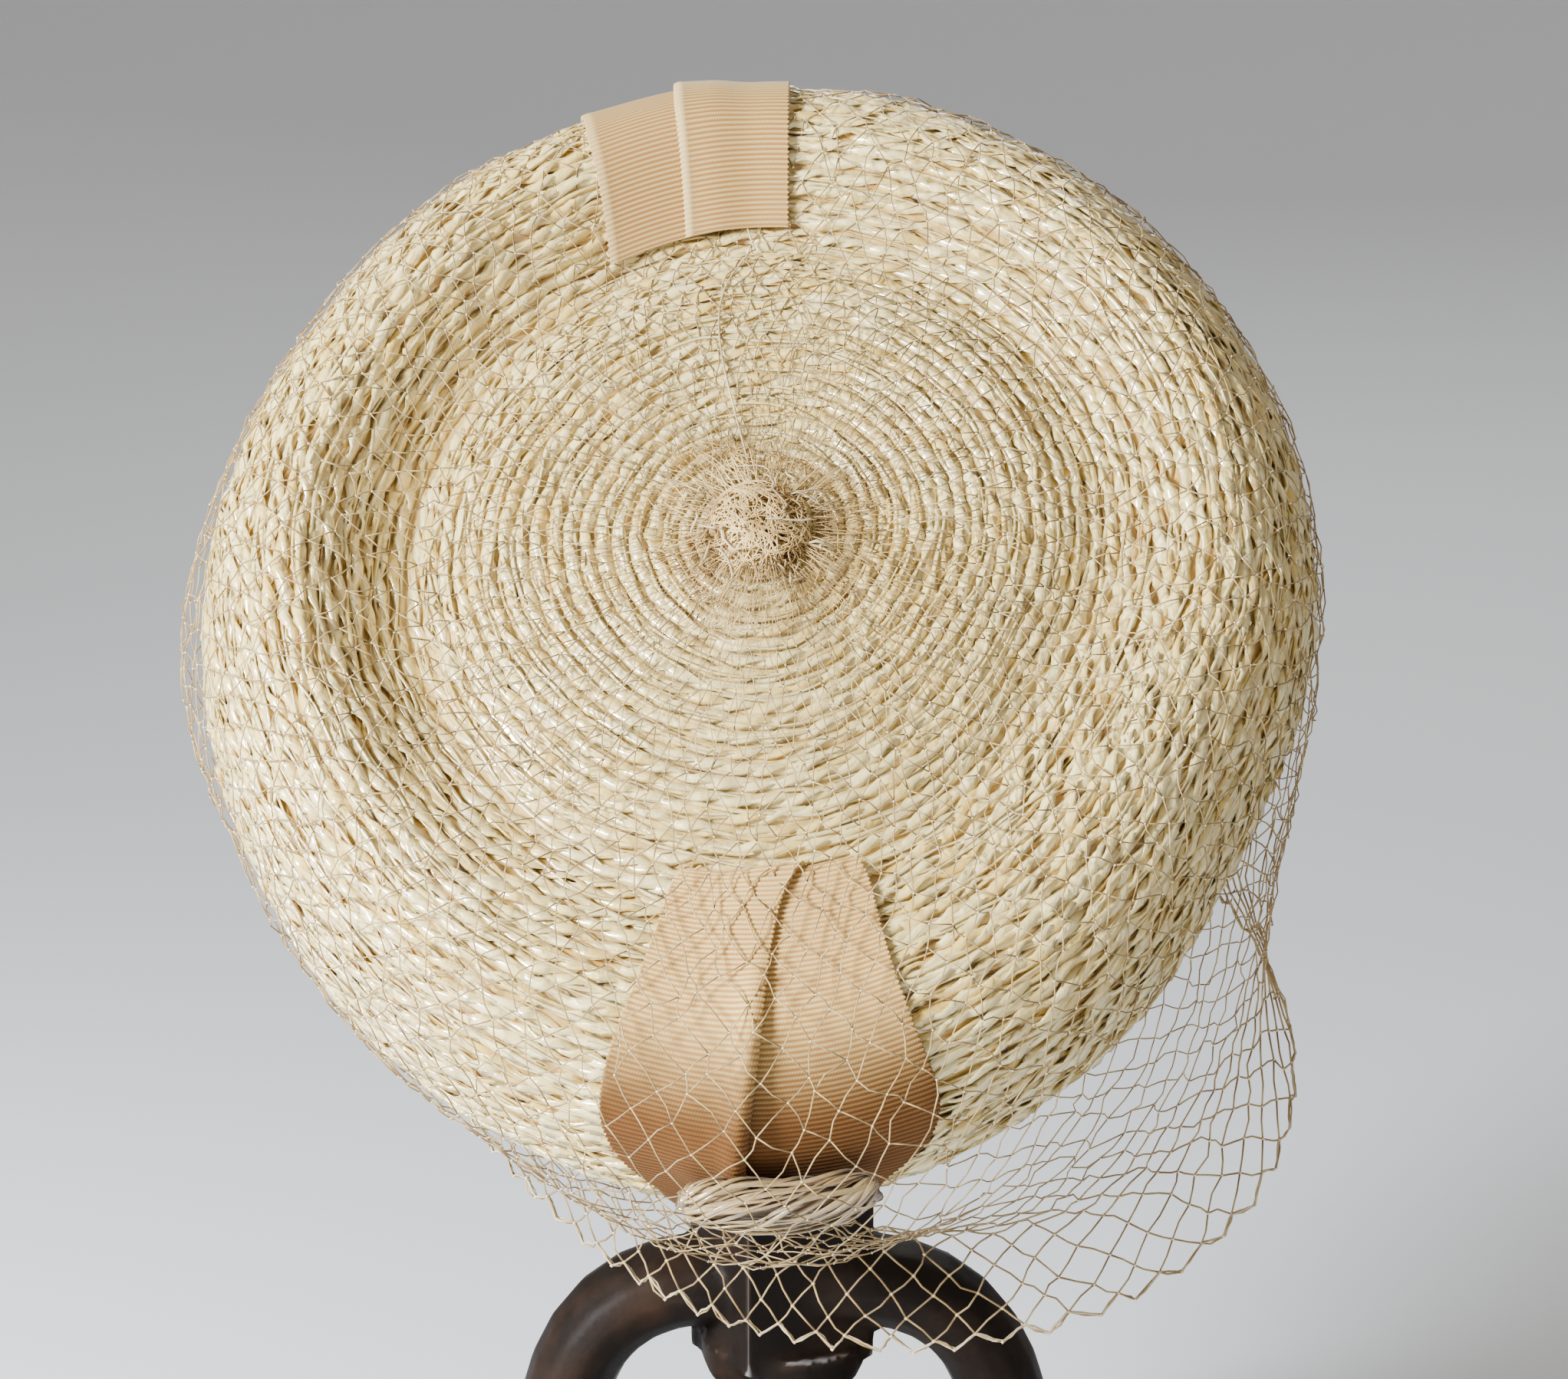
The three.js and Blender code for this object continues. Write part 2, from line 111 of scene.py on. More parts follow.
# %% Lights
def aimed_light(name, place, size, power, color):
    bpy.ops.object.light_add(type="AREA", location=place)
    light = bpy.context.object
    light.name = name
    light.data.shape = "DISK"
    light.data.size = size
    light.data.energy = power
    light.data.color = color
    light.visible_camera = False
    towards = TIP_AT - np.array(place)
    flat = math.hypot(towards[0], towards[1])
    light.rotation_euler = (
        math.atan2(flat, -towards[2]),
        0,
        math.atan2(towards[1], towards[0]) - math.pi / 2,
    )


aimed_light("key_light", (-0.74, -0.54, 0.54), 0.3, 41, (0.98, 1.0, 1.03))
aimed_light("fill_light", (1.4, -1.0, 0.9), 1.0, 4, (1.0, 0.96, 0.92))
aimed_light("back_light", (0.3, 1.4, 1.3), 0.9, 10, (1.0, 0.98, 0.95))

world = bpy.data.worlds.new("studio")
world.use_nodes = True
air = world.node_tree.nodes["Background"]
air.inputs["Color"].default_value = (0.98, 0.85, 0.70, 1)
air.inputs["Strength"].default_value = 0.33
bpy.context.scene.world = world

# %% Floor
FLAT = 1.0
COVE = 3.2
FLOOR_ANGLES = 72
cove_turn = np.linspace(0, math.pi / 2, 13)
floor_radius = np.concatenate(([0.02, 0.3, 0.7], FLAT + COVE * np.sin(cove_turn)))
floor_height = np.concatenate(([0, 0, 0], COVE * (1 - np.cos(cove_turn))))
floor_angle = np.arange(FLOOR_ANGLES)[:, None] * 2 * math.pi / FLOOR_ANGLES
floor_points = np.stack(np.broadcast_arrays(
    floor_radius * np.cos(floor_angle), floor_radius * np.sin(floor_angle), floor_height), axis=-1)
spot = np.arange(FLOOR_ANGLES * len(floor_radius)).reshape(FLOOR_ANGLES, -1)
across_spot = np.roll(spot, -1, axis=0)
floor_faces = np.stack((spot[:, :-1], spot[:, 1:], across_spot[:, 1:], across_spot[:, :-1]), axis=-1)
floor_mesh = bpy.data.meshes.new("studio_floor")
floor_mesh.from_pydata(floor_points.reshape(-1, 3).tolist(), [],
                       floor_faces.reshape(-1, 4).tolist() + [spot[:, 0].tolist()])
floor_mesh.polygons.foreach_set("use_smooth", [True] * len(floor_mesh.polygons))
floor = bpy.data.objects.new("studio_floor", floor_mesh)
bpy.context.scene.collection.objects.link(floor)
floor_paint = bpy.data.materials.new("pale_floor")
floor_paint.use_nodes = True
paint = floor_paint.node_tree.nodes["Principled BSDF"]
paint.inputs["Base Color"].default_value = (0.76, 0.80, 0.85, 1)
paint.inputs["Roughness"].default_value = 0.8
floor.data.materials.append(floor_paint)

# %% [markdown]
# ## The form of the crown
#
# Everything on the hat follows one surface, so it is a function: an angle round the hat and a step down
# its profile give a point, and a lift moves that point off the straw. A few named sections round the hat
# hold the sizes, and a smooth curve runs through them. The functions take whole arrays at once.

# %% Tables and curves
# Round the hat every 30 degrees, from its right side over the back, in millimetres.
SIDES = {
    "widest": (119.5, 124, 127, 127, 122.5, 118.5, 119.5, 121.5, 127, 131, 124, 115.5),
    "groove": (7, 8, 9, 10, 12, 13, 14, 12, 8, 4, 5, 6),
    "crest": (-3, -2, 0, 1, 2, 2, 2, 1, -1, -3, -3, -3),
    "opening": (86, 89, 95, 98, 95, 89, 86, 89, 95, 98, 95, 89),
}


def spread(*values):
    """The values spread to one shape, each as a plain row of numbers."""
    return [v.ravel().astype(float) for v in np.broadcast_arrays(*values)]


def travel(points):
    """The distance along each path from its first point. points are (..., stations, 3)."""
    steps = np.cumsum(np.linalg.norm(np.diff(points, axis=-2), axis=-1), axis=-1)
    return np.concatenate((np.zeros((*steps.shape[:-1], 1)), steps), axis=-1)


def smooth(a, b, c, d, part):
    """A smooth curve from b to c, with a and d as their neighbours."""
    bend = 2 * a - 5 * b + 4 * c - d
    turn = 3 * b - a - 3 * c + d
    return 0.5 * (2 * b + (c - a) * part + bend * part ** 2 + turn * part ** 3)


def round_table(values, angle):
    """A column of a table whose rows go evenly round the hat."""
    values = np.array(values, float)
    place = np.mod(angle, 360) * len(values) / 360
    row = np.floor(place).astype(int)
    a, b, c, d = (values[(row + k) % len(values)] for k in (-1, 0, 1, 2))
    return smooth(a, b, c, d, place - row)


def step_table(steps, values, step):
    """A column of a table whose rows are placed by their own step."""
    steps = np.array(steps, float)
    values = np.array(values, float)
    row = np.clip(np.searchsorted(steps, step, side="right") - 1, 0, len(steps) - 2)
    a, b, c, d = (values[np.clip(row + k, 0, len(steps) - 1)] for k in (-1, 0, 1, 2))
    return smooth(a, b, c, d, (step - steps[row]) / (steps[row + 1] - steps[row]))


def gentle(values, low, high):
    """Nought below low, one above high, and a smooth rise between."""
    part = np.clip((values - low) / (high - low), 0, 1)
    return part * part * (3 - 2 * part)


# %% The profile and points on it
def profile(angle):
    """Radii and heights of the outside: 0 tip centre, 4 groove, 5 crest, 7 widest, 10 opening."""
    widest, groove, crest, opening = (round_table(SIDES[name], angle) * MM for name in SIDES)
    level = np.zeros_like(widest)
    radii = (level, 0.25 * widest, 0.46 * widest, 0.57 * widest, 0.4 * widest + 28 * MM,
             widest - 23 * MM, widest - 6.5 * MM, widest, widest - 4 * MM, widest - 15 * MM, opening)
    heights = (level, level - 0.5 * MM, level - 2.5 * MM, -5 * MM - 0.2 * groove, -groove,
               crest, crest - 12 * MM, level - 0.4 * CROWN_DEPTH, level - 0.65 * CROWN_DEPTH,
               level - 0.87 * CROWN_DEPTH, level - CROWN_DEPTH)
    return np.array(radii), np.array(heights)


def down_profile(values, mirror, step):
    """A value at a step down the profile. The profile is mirrored past the tip's centre."""
    rows = np.concatenate(([mirror * values[1]], values, [2 * values[-1] - values[-2]]))
    row = np.clip(np.floor(step).astype(int), 0, len(values) - 2)
    column = np.arange(len(step))
    a, b, c, d = (rows[row + k, column] for k in range(4))
    return smooth(a, b, c, d, step - row)


def on_crown(angle, step, lift=0.0):
    """Points on the crown's outside, or lifted off it, in the hat's frame."""
    angle, step, lift = spread(angle, step, lift)
    radii, heights = profile(angle)
    near, far = np.maximum(step - 0.02, 0), np.minimum(step + 0.02, 10)
    run_out = down_profile(radii, -1, far) - down_profile(radii, -1, near)
    run_up = down_profile(heights, 1, far) - down_profile(heights, 1, near)
    run = np.hypot(run_out, run_up)
    out = down_profile(radii, -1, step) - lift * run_up / run
    up = down_profile(heights, 1, step) + lift * run_out / run
    turn = np.radians(angle)
    return np.stack((out * np.cos(turn), out * np.sin(turn), up), axis=-1)


# %% [markdown]
# ## Even rows
#
# Straw is sewn in rows of one width, whatever the shape under them. So the distance down the profile is
# measured all round the hat, and turned into a table from a share of that distance back to a step. A
# place on the straw is then an angle, a share of the way down, and a distance across in metres.

# %% Distances down the profile
TABLE_ANGLES = 120
TABLE_SHARES = 240
fine_steps = np.linspace(0, 10, 401)
table_angles = np.arange(TABLE_ANGLES) * 360 / TABLE_ANGLES
meridians = on_crown(table_angles[:, None], fine_steps[None, :]).reshape(TABLE_ANGLES, -1, 3)
travelled = travel(meridians)
way_down = travelled[:, -1]
shares = np.linspace(0, 1, TABLE_SHARES + 1)
share_steps = np.array([np.interp(shares * row[-1], row, fine_steps) for row in travelled])
print("way down the crown, least and most", way_down.min().round(4), way_down.max().round(4))


def step_at(angle, share):
    """The step down the profile at a share of the way down, between the rows of the table."""
    place = np.mod(angle, 360) * TABLE_ANGLES / 360
    row = np.floor(place).astype(int) % TABLE_ANGLES
    across = place - np.floor(place)
    down = np.clip(share, 0, 1) * TABLE_SHARES
    column = np.minimum(np.floor(down).astype(int), TABLE_SHARES - 1)
    part = down - column
    after = (row + 1) % TABLE_ANGLES
    here = share_steps[row, column] * (1 - part) + share_steps[row, column + 1] * part
    there = share_steps[after, column] * (1 - part) + share_steps[after, column + 1] * part
    return here * (1 - across) + there * across


def on_straw(angle, share, across=0.0, lift=0.0):
    """Points on the straw. across is a distance further down the profile."""
    angle, share, across, lift = spread(angle, share, across, lift)
    all_round = np.append(table_angles, 360)
    length = np.interp(np.mod(angle, 360), all_round, np.append(way_down, way_down[0]))
    return on_crown(angle, step_at(angle, share + across / length), lift)


# %% [markdown]
# ## Strands as meshes
#
# Thousands of strands are made as joined meshes from arrays. Each is a row of small oval rings that
# follow a path, closed at both ends. The piece keeps a UV map that runs along and round the strand, and
# numbers on its points, such as how deep a point lies, which sets how much painted shade it gets, and how
# light that stretch of straw is.

# %% Tubes from arrays
def unit(vectors):
    return vectors / np.maximum(np.linalg.norm(vectors, axis=-1, keepdims=True), 1e-12)


def ring_places(sides):
    turn = np.arange(sides) * 2 * math.pi / sides
    return np.cos(turn), np.sin(turn)


def tube_points(centres, outward, wide, thick, sides, roll=0.0):
    """Rings round paths. centres and outward are (strands, stations, 3), sizes (strands, stations)."""
    along = unit(np.gradient(centres, axis=1))
    beside = unit(np.cross(along, outward))
    up = np.cross(beside, along)
    roll = np.broadcast_to(roll, centres.shape[:2])[..., None]
    beside, up = (beside * np.cos(roll) + up * np.sin(roll),
                  up * np.cos(roll) - beside * np.sin(roll))
    cos, sin = ring_places(sides)
    offset = (beside[:, :, None] * (wide[..., None] * cos)[..., None]
              + up[:, :, None] * (thick[..., None] * sin)[..., None])
    return centres[:, :, None] + offset


def tube_faces(strands, stations, sides):
    """Quads along every strand and one face at each end, as lists of point numbers."""
    first = np.arange(strands)[:, None, None] * stations * sides
    ring = np.arange(stations - 1)[None, :, None] * sides
    side = np.arange(sides)[None, None, :]
    after = (side + 1) % sides
    a, b = first + ring + side, first + ring + after
    quads = np.stack((a, b, b + sides, a + sides), axis=-1).reshape(-1, 4)
    start = first[:, :, 0] + np.arange(sides)[None, ::-1]
    end = first[:, :, 0] + (stations - 1) * sides + np.arange(sides)[None, :]
    return quads, np.concatenate((start, end))


def tube_uv(length_along, sides):
    """Corner UVs to match tube_faces: U in metres along the strand, V from 0 to 1 round it."""
    strands, stations = length_along.shape
    u0, u1 = length_along[:, :-1, None], length_along[:, 1:, None]
    v0 = np.arange(sides)[None, None, :] / sides
    v1 = v0 + 1 / sides
    u0, u1, v0, v1 = np.broadcast_arrays(u0, u1, v0, v1)
    corners = np.stack((u0, v0, u0, v1, u1, v1, u1, v0), axis=-1).reshape(-1, 2)
    caps = np.zeros((2 * strands * sides, 2))
    return np.concatenate((corners, caps))


def new_piece(name, points, faces, material, corner_uv=None, numbers=None):
    """A smooth mesh object from points in the hat's frame, with its UV map and numbers on its points."""
    mesh = bpy.data.meshes.new(name)
    lists = [face for block in faces for face in block.tolist()]
    mesh.from_pydata(to_world(points.reshape(-1, 3)).tolist(), [], lists)
    if corner_uv is not None:
        layer = mesh.uv_layers.new(name="UVMap")
        layer.data.foreach_set("uv", corner_uv.astype(np.float32).ravel())
    for label, values in (numbers or {}).items():
        attribute = mesh.attributes.new(label, "FLOAT", "POINT")
        attribute.data.foreach_set("value", np.asarray(values, np.float32).ravel())
    mesh.polygons.foreach_set("use_smooth", [True] * len(mesh.polygons))
    mesh.materials.append(material)
    piece = bpy.data.objects.new(name, mesh)
    bpy.context.scene.collection.objects.link(piece)
    print(name, "has", sum(len(p.vertices) - 2 for p in mesh.polygons), "triangles")
    return piece


def placed(piece):
    """Let the piece ride on the only body."""
    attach(piece, "root")
    return piece


STAGGER = 0.137  # how far each strand's UV starts from the last one's


def strand_piece(name, centres, outward, wide, thick, sides, material, tint, shade_depth=0.0, roll=0.0):
    """One piece of many strands. tint is (strands, stations), and depth has the ring's sides as well."""
    strands, stations = centres.shape[:2]
    run = travel(centres) + np.arange(strands)[:, None] * STAGGER
    numbers = {
        "tint": np.repeat(tint[..., None], sides, axis=2),
        "shade_depth": np.broadcast_to(shade_depth, (strands, stations, sides)),
    }
    return new_piece(name, tube_points(centres, outward, wide, thick, sides, roll),
                     tube_faces(strands, stations, sides), material, tube_uv(run, sides), numbers)


def wander(values, length, seed):
    """Smooth chance between -1 and 1 that changes over a given length."""
    chance = np.random.default_rng(seed).uniform(-1, 1, 4096)
    place = values / length
    whole = np.floor(place).astype(int)
    part = gentle(place - whole, 0, 1)
    return chance[whole % 4096] * (1 - part) + chance[(whole + 1) % 4096] * part


# %% [markdown]
# ## Finishes: fibres
#
# Straw shows fine fibres that run along it. A node group makes them: streaks that are long along U and
# narrow along V, as a mask and as a height for a bump, and larger patches. The material gives the scale.

# %% A node group for fibres
def set_inputs(node, values):
    for label, value in values.items():
        node.inputs[label].default_value = value


def math_node(tree, operation, a, b=0.0, clamp=False):
    """One step of arithmetic. a and b are numbers or sockets."""
    node = tree.nodes.new("ShaderNodeMath")
    node.operation = operation
    node.use_clamp = clamp
    for socket, value in zip(node.inputs, (a, b)):
        if isinstance(value, (int, float)):
            socket.default_value = value
        else:
            tree.links.new(value, socket)
    return node.outputs[0]


def mix_color(tree, share, a, b, blend="MIX"):
    """Two colours mixed by a share. The colours are tuples or sockets."""
    node = tree.nodes.new("ShaderNodeMix")
    node.data_type = "RGBA"
    node.blend_type = blend
    for socket, value in ((node.inputs[0], share), (node.inputs[6], a), (node.inputs[7], b)):
        if isinstance(value, (int, float)):
            socket.default_value = value
        elif isinstance(value, tuple):
            socket.default_value = (*value, 1)
        else:
            tree.links.new(value, socket)
    return node.outputs[2]


def remap(tree, value, low, high, to_low=0.0, to_high=1.0):
    """A value's stretch between low and high, spread over another stretch."""
    node = tree.nodes.new("ShaderNodeMapRange")
    tree.links.new(value, node.inputs["Value"])
    set_inputs(node, {"From Min": low, "From Max": high, "To Min": to_low, "To Max": to_high})
    return node.outputs["Result"]


def noise(tree, scale, detail=2.0, roughness=0.5, vector=None):
    """Cloudy noise, at the object's own coordinates if no others are given."""
    node = tree.nodes.new("ShaderNodeTexNoise")
    vector = vector or tree.nodes.new("ShaderNodeTexCoord").outputs["Object"]
    tree.links.new(vector, node.inputs["Vector"])
    set_inputs(node, {"Scale": scale, "Detail": detail, "Roughness": roughness})
    return node.outputs["Fac"]


fibres = bpy.data.node_groups.new("fibres", "ShaderNodeTree")
for label, way, kind in (("UV", "INPUT", "Vector"), ("Along", "INPUT", "Float"),
                         ("Around", "INPUT", "Float"), ("Streaks", "OUTPUT", "Float"),
                         ("Patches", "OUTPUT", "Float")):
    fibres.interface.new_socket(label, in_out=way, socket_type="NodeSocket" + kind)
given = fibres.nodes.new("NodeGroupInput")
put = fibres.nodes.new("NodeGroupOutput")
split = fibres.nodes.new("ShaderNodeSeparateXYZ")
fibres.links.new(given.outputs["UV"], split.inputs[0])
join = fibres.nodes.new("ShaderNodeCombineXYZ")
for axis, scale in (("X", "Along"), ("Y", "Around")):
    scaled = math_node(fibres, "MULTIPLY", split.outputs[axis], given.outputs[scale])
    fibres.links.new(scaled, join.inputs[axis])
fibres.links.new(noise(fibres, 1.0, 3.0, 0.6, join.outputs[0]), put.inputs["Streaks"])
fibres.links.new(noise(fibres, 0.23, 1.0, 0.5, join.outputs[0]), put.inputs["Patches"])

# %% [markdown]
# ## The straw finish
#
# The straw is a glossy ribbon of cellulose, cream where the light catches it. Deep between the rows it
# turns brown, and that shade is painted: the shade_depth number mixes in the deep colour, the tint number
# makes some stretches whiter than others, and the fibres break up the colour, the gloss and the surface.
# A fine crinkle under a clear coat makes the small white glints.

# %% Straw material
def new_material(name):
    material = bpy.data.materials.new(name)
    material.use_nodes = True
    return material, material.node_tree, material.node_tree.nodes["Principled BSDF"]


def attribute(tree, label):
    node = tree.nodes.new("ShaderNodeAttribute")
    node.attribute_name = label
    return node.outputs["Fac"]


def fibre_node(tree, along, around):
    uv = tree.nodes.new("ShaderNodeUVMap")
    uv.uv_map = "UVMap"
    node = tree.nodes.new("ShaderNodeGroup")
    node.node_tree = fibres
    set_inputs(node, {"Along": along, "Around": around})
    tree.links.new(uv.outputs[0], node.inputs["UV"])
    return node.outputs["Streaks"], node.outputs["Patches"]


def bump(tree, shader, height, strength, distance):
    node = tree.nodes.new("ShaderNodeBump")
    set_inputs(node, {"Strength": strength, "Distance": distance})
    tree.links.new(height, node.inputs["Height"])
    tree.links.new(node.outputs["Normal"], shader.inputs["Normal"])


def straw_material(name, pale, honey, deep):
    material, tree, shader = new_material(name)
    streaks, patches = fibre_node(tree, 130, 15)
    tint = math_node(tree, "ADD", attribute(tree, "tint"), math_node(tree, "SUBTRACT", patches, 0.5))
    surface = mix_color(tree, remap(tree, tint, 0.0, 0.7), honey, pale)
    surface = mix_color(tree, remap(tree, streaks, 0.60, 0.38, 0.0, 0.5), surface, honey)
    # Painted shade: where a point lies low between the rows, the shade_depth number mixes in the browner
    # deep colour.
    shade = remap(tree, attribute(tree, "shade_depth"), 0.25, 0.95)
    tree.links.new(mix_color(tree, shade, surface, deep), shader.inputs["Base Color"])
    tree.links.new(remap(tree, streaks, 0.35, 0.7, 0.24, 0.46), shader.inputs["Roughness"])
    crinkle = noise(tree, 420)
    height = math_node(tree, "ADD", math_node(tree, "MULTIPLY", streaks, 0.6), crinkle)
    bump(tree, shader, height, 0.8, 0.45 * MM)
    set_inputs(shader, {"Specular IOR Level": 0.7, "Coat Weight": 1.0, "Coat Roughness": 0.12,
                        "Coat IOR": 1.8, "Sheen Weight": 0.1})
    return material


# The third colour, deep, is the painted shade between the rows.
straw = straw_material("straw", (0.96, 0.83, 0.405), (0.82, 0.56, 0.12), (0.52, 0.275, 0.035))

# %% [markdown]
# ## The straw body
#
# Under the rows lies a thin shell that closes the gaps between them, as the underside of the sewn rows
# does. It is the crown's own form as a grid, drawn in from the outside so that the rows can stand on it,
# and it carries painted shade, browner under the loose rows of the rim than under the neat ones on the
# tip.

# %% Shell under the rows
SHELL_ANGLES = 96
SHELL_ROWS = 60
SHELL_OUTSIDE = -1.35 * MM
SHELL_INSIDE = -1.6 * MM
RIM_BEGINS = (0.30, 0.42)  # shares of the way down, from neat rows to loose ones


def shell_grid(lift):
    angles = np.arange(SHELL_ANGLES) * 360 / SHELL_ANGLES
    share = np.linspace(0.004, 1, SHELL_ROWS)
    return on_straw(angles[:, None], share[None, :], 0, lift).reshape(SHELL_ANGLES, SHELL_ROWS, 3)


outer = shell_grid(SHELL_OUTSIDE)
inner = shell_grid(SHELL_INSIDE)[:, ::-1]
rings = np.concatenate((outer, inner), axis=1)
columns = 2 * SHELL_ROWS
point = np.arange(SHELL_ANGLES * columns).reshape(SHELL_ANGLES, columns)
here, beside = point[:, :-1], np.roll(point, -1, axis=0)[:, :-1]
walls = np.stack((here, here + 1, beside + 1, beside), axis=-1).reshape(-1, 4)
tip_outside = np.ascontiguousarray(point[:, 0])[None, :]
tip_inside = np.ascontiguousarray(point[::-1, -1])[None, :]
down_outside = np.linspace(0, 1, SHELL_ROWS)
# Painted shade on the shell, seen through the gaps, more under the rim's loose rows.
shell_shade_depth = 0.4 + 0.3 * gentle(np.append(down_outside, down_outside[::-1]), *RIM_BEGINS)
shell = new_piece("straw_body", rings, (walls, tip_outside, tip_inside), straw,
                  numbers={"tint": np.full(rings.shape[:2], 0.4),
                           "shade_depth": np.broadcast_to(shell_shade_depth, rings.shape[:2])})
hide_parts("crown")
placed(shell)

# %% [markdown]
# ## Rows of twisted straw
#
# Each row is a cord of two flat straws twisted round each other, and one cord spirals from the tip to
# the edge of the head opening. A flat straw lies flat while it is on top and tilts on its way down to the
# side, and that makes the long lumps. On the flat tip the rows are neat. Over the rim they are thicker and
# wander. The same rows show inside the hat, as a second set that faces inwards.

# %% The spiral
ROW = 3.35 * MM
TWIST = 13 * MM
ROWS = round(float(way_down.mean()) / ROW)
walk = np.linspace(0.3, ROWS, ROWS * 180)
walked = travel(on_straw(walk * 360, walk / ROWS))
print("rows", ROWS, "straw in one spiral", round(walked[-1], 2), "m")


def spiral_part(first, last, pace):
    """Distances along the spiral between two shares of the way down, and the turns they lie at."""
    begin, end = np.interp((first * ROWS, last * ROWS), walk, walked)
    way = np.arange(begin, end, pace)
    return way, np.interp(way, walked, walk)


def outward_at(turns, across, lift):
    """Places on the spiral and the way out of the straw at each."""
    place = on_straw(turns * 360, turns / ROWS, across, lift)
    above = on_straw(turns * 360, turns / ROWS, across, lift + 1 * MM)
    return place, unit(above - place)


# %% Two straws along it
def twisted_rows(name, first, last, pace, sides, facing=1, middle=-0.72, twist=TWIST):
    """The two straws between two shares of the way down. facing is 1 outwards and -1 inwards. Sizes that
    are added up here are in millimetres, and each wandering has a length over which it changes."""
    way, turns = spiral_part(first, last, pace)
    wild = np.interp(turns / ROWS, (0, *RIM_BEGINS, 1), (0.35, 0.45, 1, 1))
    plies = []
    for seed, start in ((31, 0), (32, math.pi)):
        phase = 2 * math.pi * way / twist + start + 1.5 * wild * wander(way, 19 * MM, seed)
        across = (0.6 + 0.2 * wild) * np.cos(phase) + 0.6 * wild * wander(way, 9 * MM, seed + 10)
        rise = (0.30 + 0.25 * wild) * np.sin(phase) + (0.1 + 0.4 * wild) * wander(way, 7 * MM, seed + 20)
        wide = 1.24 + 0.1 * wild + 0.14 * np.sin(phase) + 0.34 * wander(way, 6 * MM, seed + 30)
        thick = 0.42 + 0.14 * wander(way, 5 * MM, seed + 40)
        tint = 0.55 + 0.45 * wander(way, 13 * MM, seed + 50)
        roll = -facing * 0.6 * np.cos(phase) + (0.2 + 0.35 * wild) * wander(way, 9 * MM, seed + 60)
        level = rise[:, None] + facing * thick[:, None] * ring_places(sides)[1]
        place, out = outward_at(turns, across * MM, (middle + facing * rise) * MM)
        plies.append((place, out, wide * MM, thick * MM, tint, roll, level))
    places, outs, wides, thicks, tints, rolls, levels = (np.array(part) for part in zip(*plies))
    # Painted shade: the lower a point lies in the cord, the browner it is painted, more so on the loose
    # rim rows.
    shade_depth = np.clip(0.25 - levels, 0, 1) * (0.4 + 0.6 * wild[:, None])
    placed(strand_piece(name, places, outs, wides, thicks, sides, straw, tints, shade_depth, rolls))


twisted_rows("straw_rows_tip", 0.0, 0.42, 1.8 * MM, 5)
twisted_rows("straw_rows_rim", 0.42, 0.62, 1.8 * MM, 5)
twisted_rows("straw_rows_side", 0.62, 0.80, 1.9 * MM, 4)
twisted_rows("straw_rows_under", 0.80, 1.0, 2.3 * MM, 4)
twisted_rows("straw_rows_inside", 0.02, 1.0, 4.6 * MM, 4, facing=-1, middle=-1.95, twist=18 * MM)

# %% Thin straws over the rows
def thin_straws(name, first, last, pace, half_width, seed):
    """One long thin straw that winds over and under the rows, so that it shows in short lengths."""
    way, turns = spiral_part(first, last, pace)
    across = 1.7 * wander(way, 13 * MM, seed)
    lift = -0.35 + 0.75 * wander(way, 9 * MM, seed + 1)
    wide = half_width * (1 + 0.35 * wander(way, 8 * MM, seed + 2)) * MM
    tint = 0.6 + 0.5 * wander(way, 17 * MM, seed + 3)
    roll = 0.7 * wander(way, 7 * MM, seed + 4)
    place, out = outward_at(turns, across * MM, lift * MM)
    # Painted shade where the thin straw dips under the rows.
    shade_depth = np.clip(-lift - 0.1, 0, 1)[:, None]
    placed(strand_piece(name, place[None], out[None], wide[None], 0.35 * wide[None], 4, straw,
                        tint[None], shade_depth[None], roll[None]))


thin_straws("straw_thin_pale", 0.02, 0.80, 2.7 * MM, 0.55, 201)
thin_straws("straw_thin_fine", 0.02, 0.70, 2.7 * MM, 0.36, 301)


# %% The edge of the head opening
def edge_cord(twists=38, stations=260, radius=0.8 * MM, half_width=1.25 * MM):
    """Two straws twisted round the edge, which close the wall between the outer and the inner rows."""
    angle = np.linspace(0, 360, stations, endpoint=False)
    middle = on_crown(angle, 10.0, -1.2 * MM)
    out = unit(on_crown(angle, 10.0, 0.0) - middle)
    onward = unit(middle - on_crown(angle, 9.9, -1.2 * MM))
    phase = np.radians(angle) * twists + np.array((0, math.pi))[:, None]
    away = out * np.cos(phase)[..., None] + onward * np.sin(phase)[..., None]
    places = middle + radius * away
    places, away = (np.concatenate((part, part[:, :1]), axis=1) for part in (places, away))
    wide = np.full(places.shape[:2], half_width)
    tint = 0.6 + 0.3 * np.sin(np.arange(stations + 1) * 0.7)[None].repeat(2, axis=0)
    placed(strand_piece("straw_edge_cord", places, away, wide, 0.5 * wide, 6, straw, tint))


edge_cord()

# %% [markdown]
# ## Ribbed ribbon
#
# Grosgrain has a round rib across it every millimetre or so, and its edges are scalloped by the ribs.
# Each strip is a thin closed slab over the straw with several rows of points to a rib, so that the ribs
# are real, and a table of its edges at a few steps down the crown gives its course. The strip on top of
# each pair rises over the lower one, and its inner edge is rolled into a soft fold.

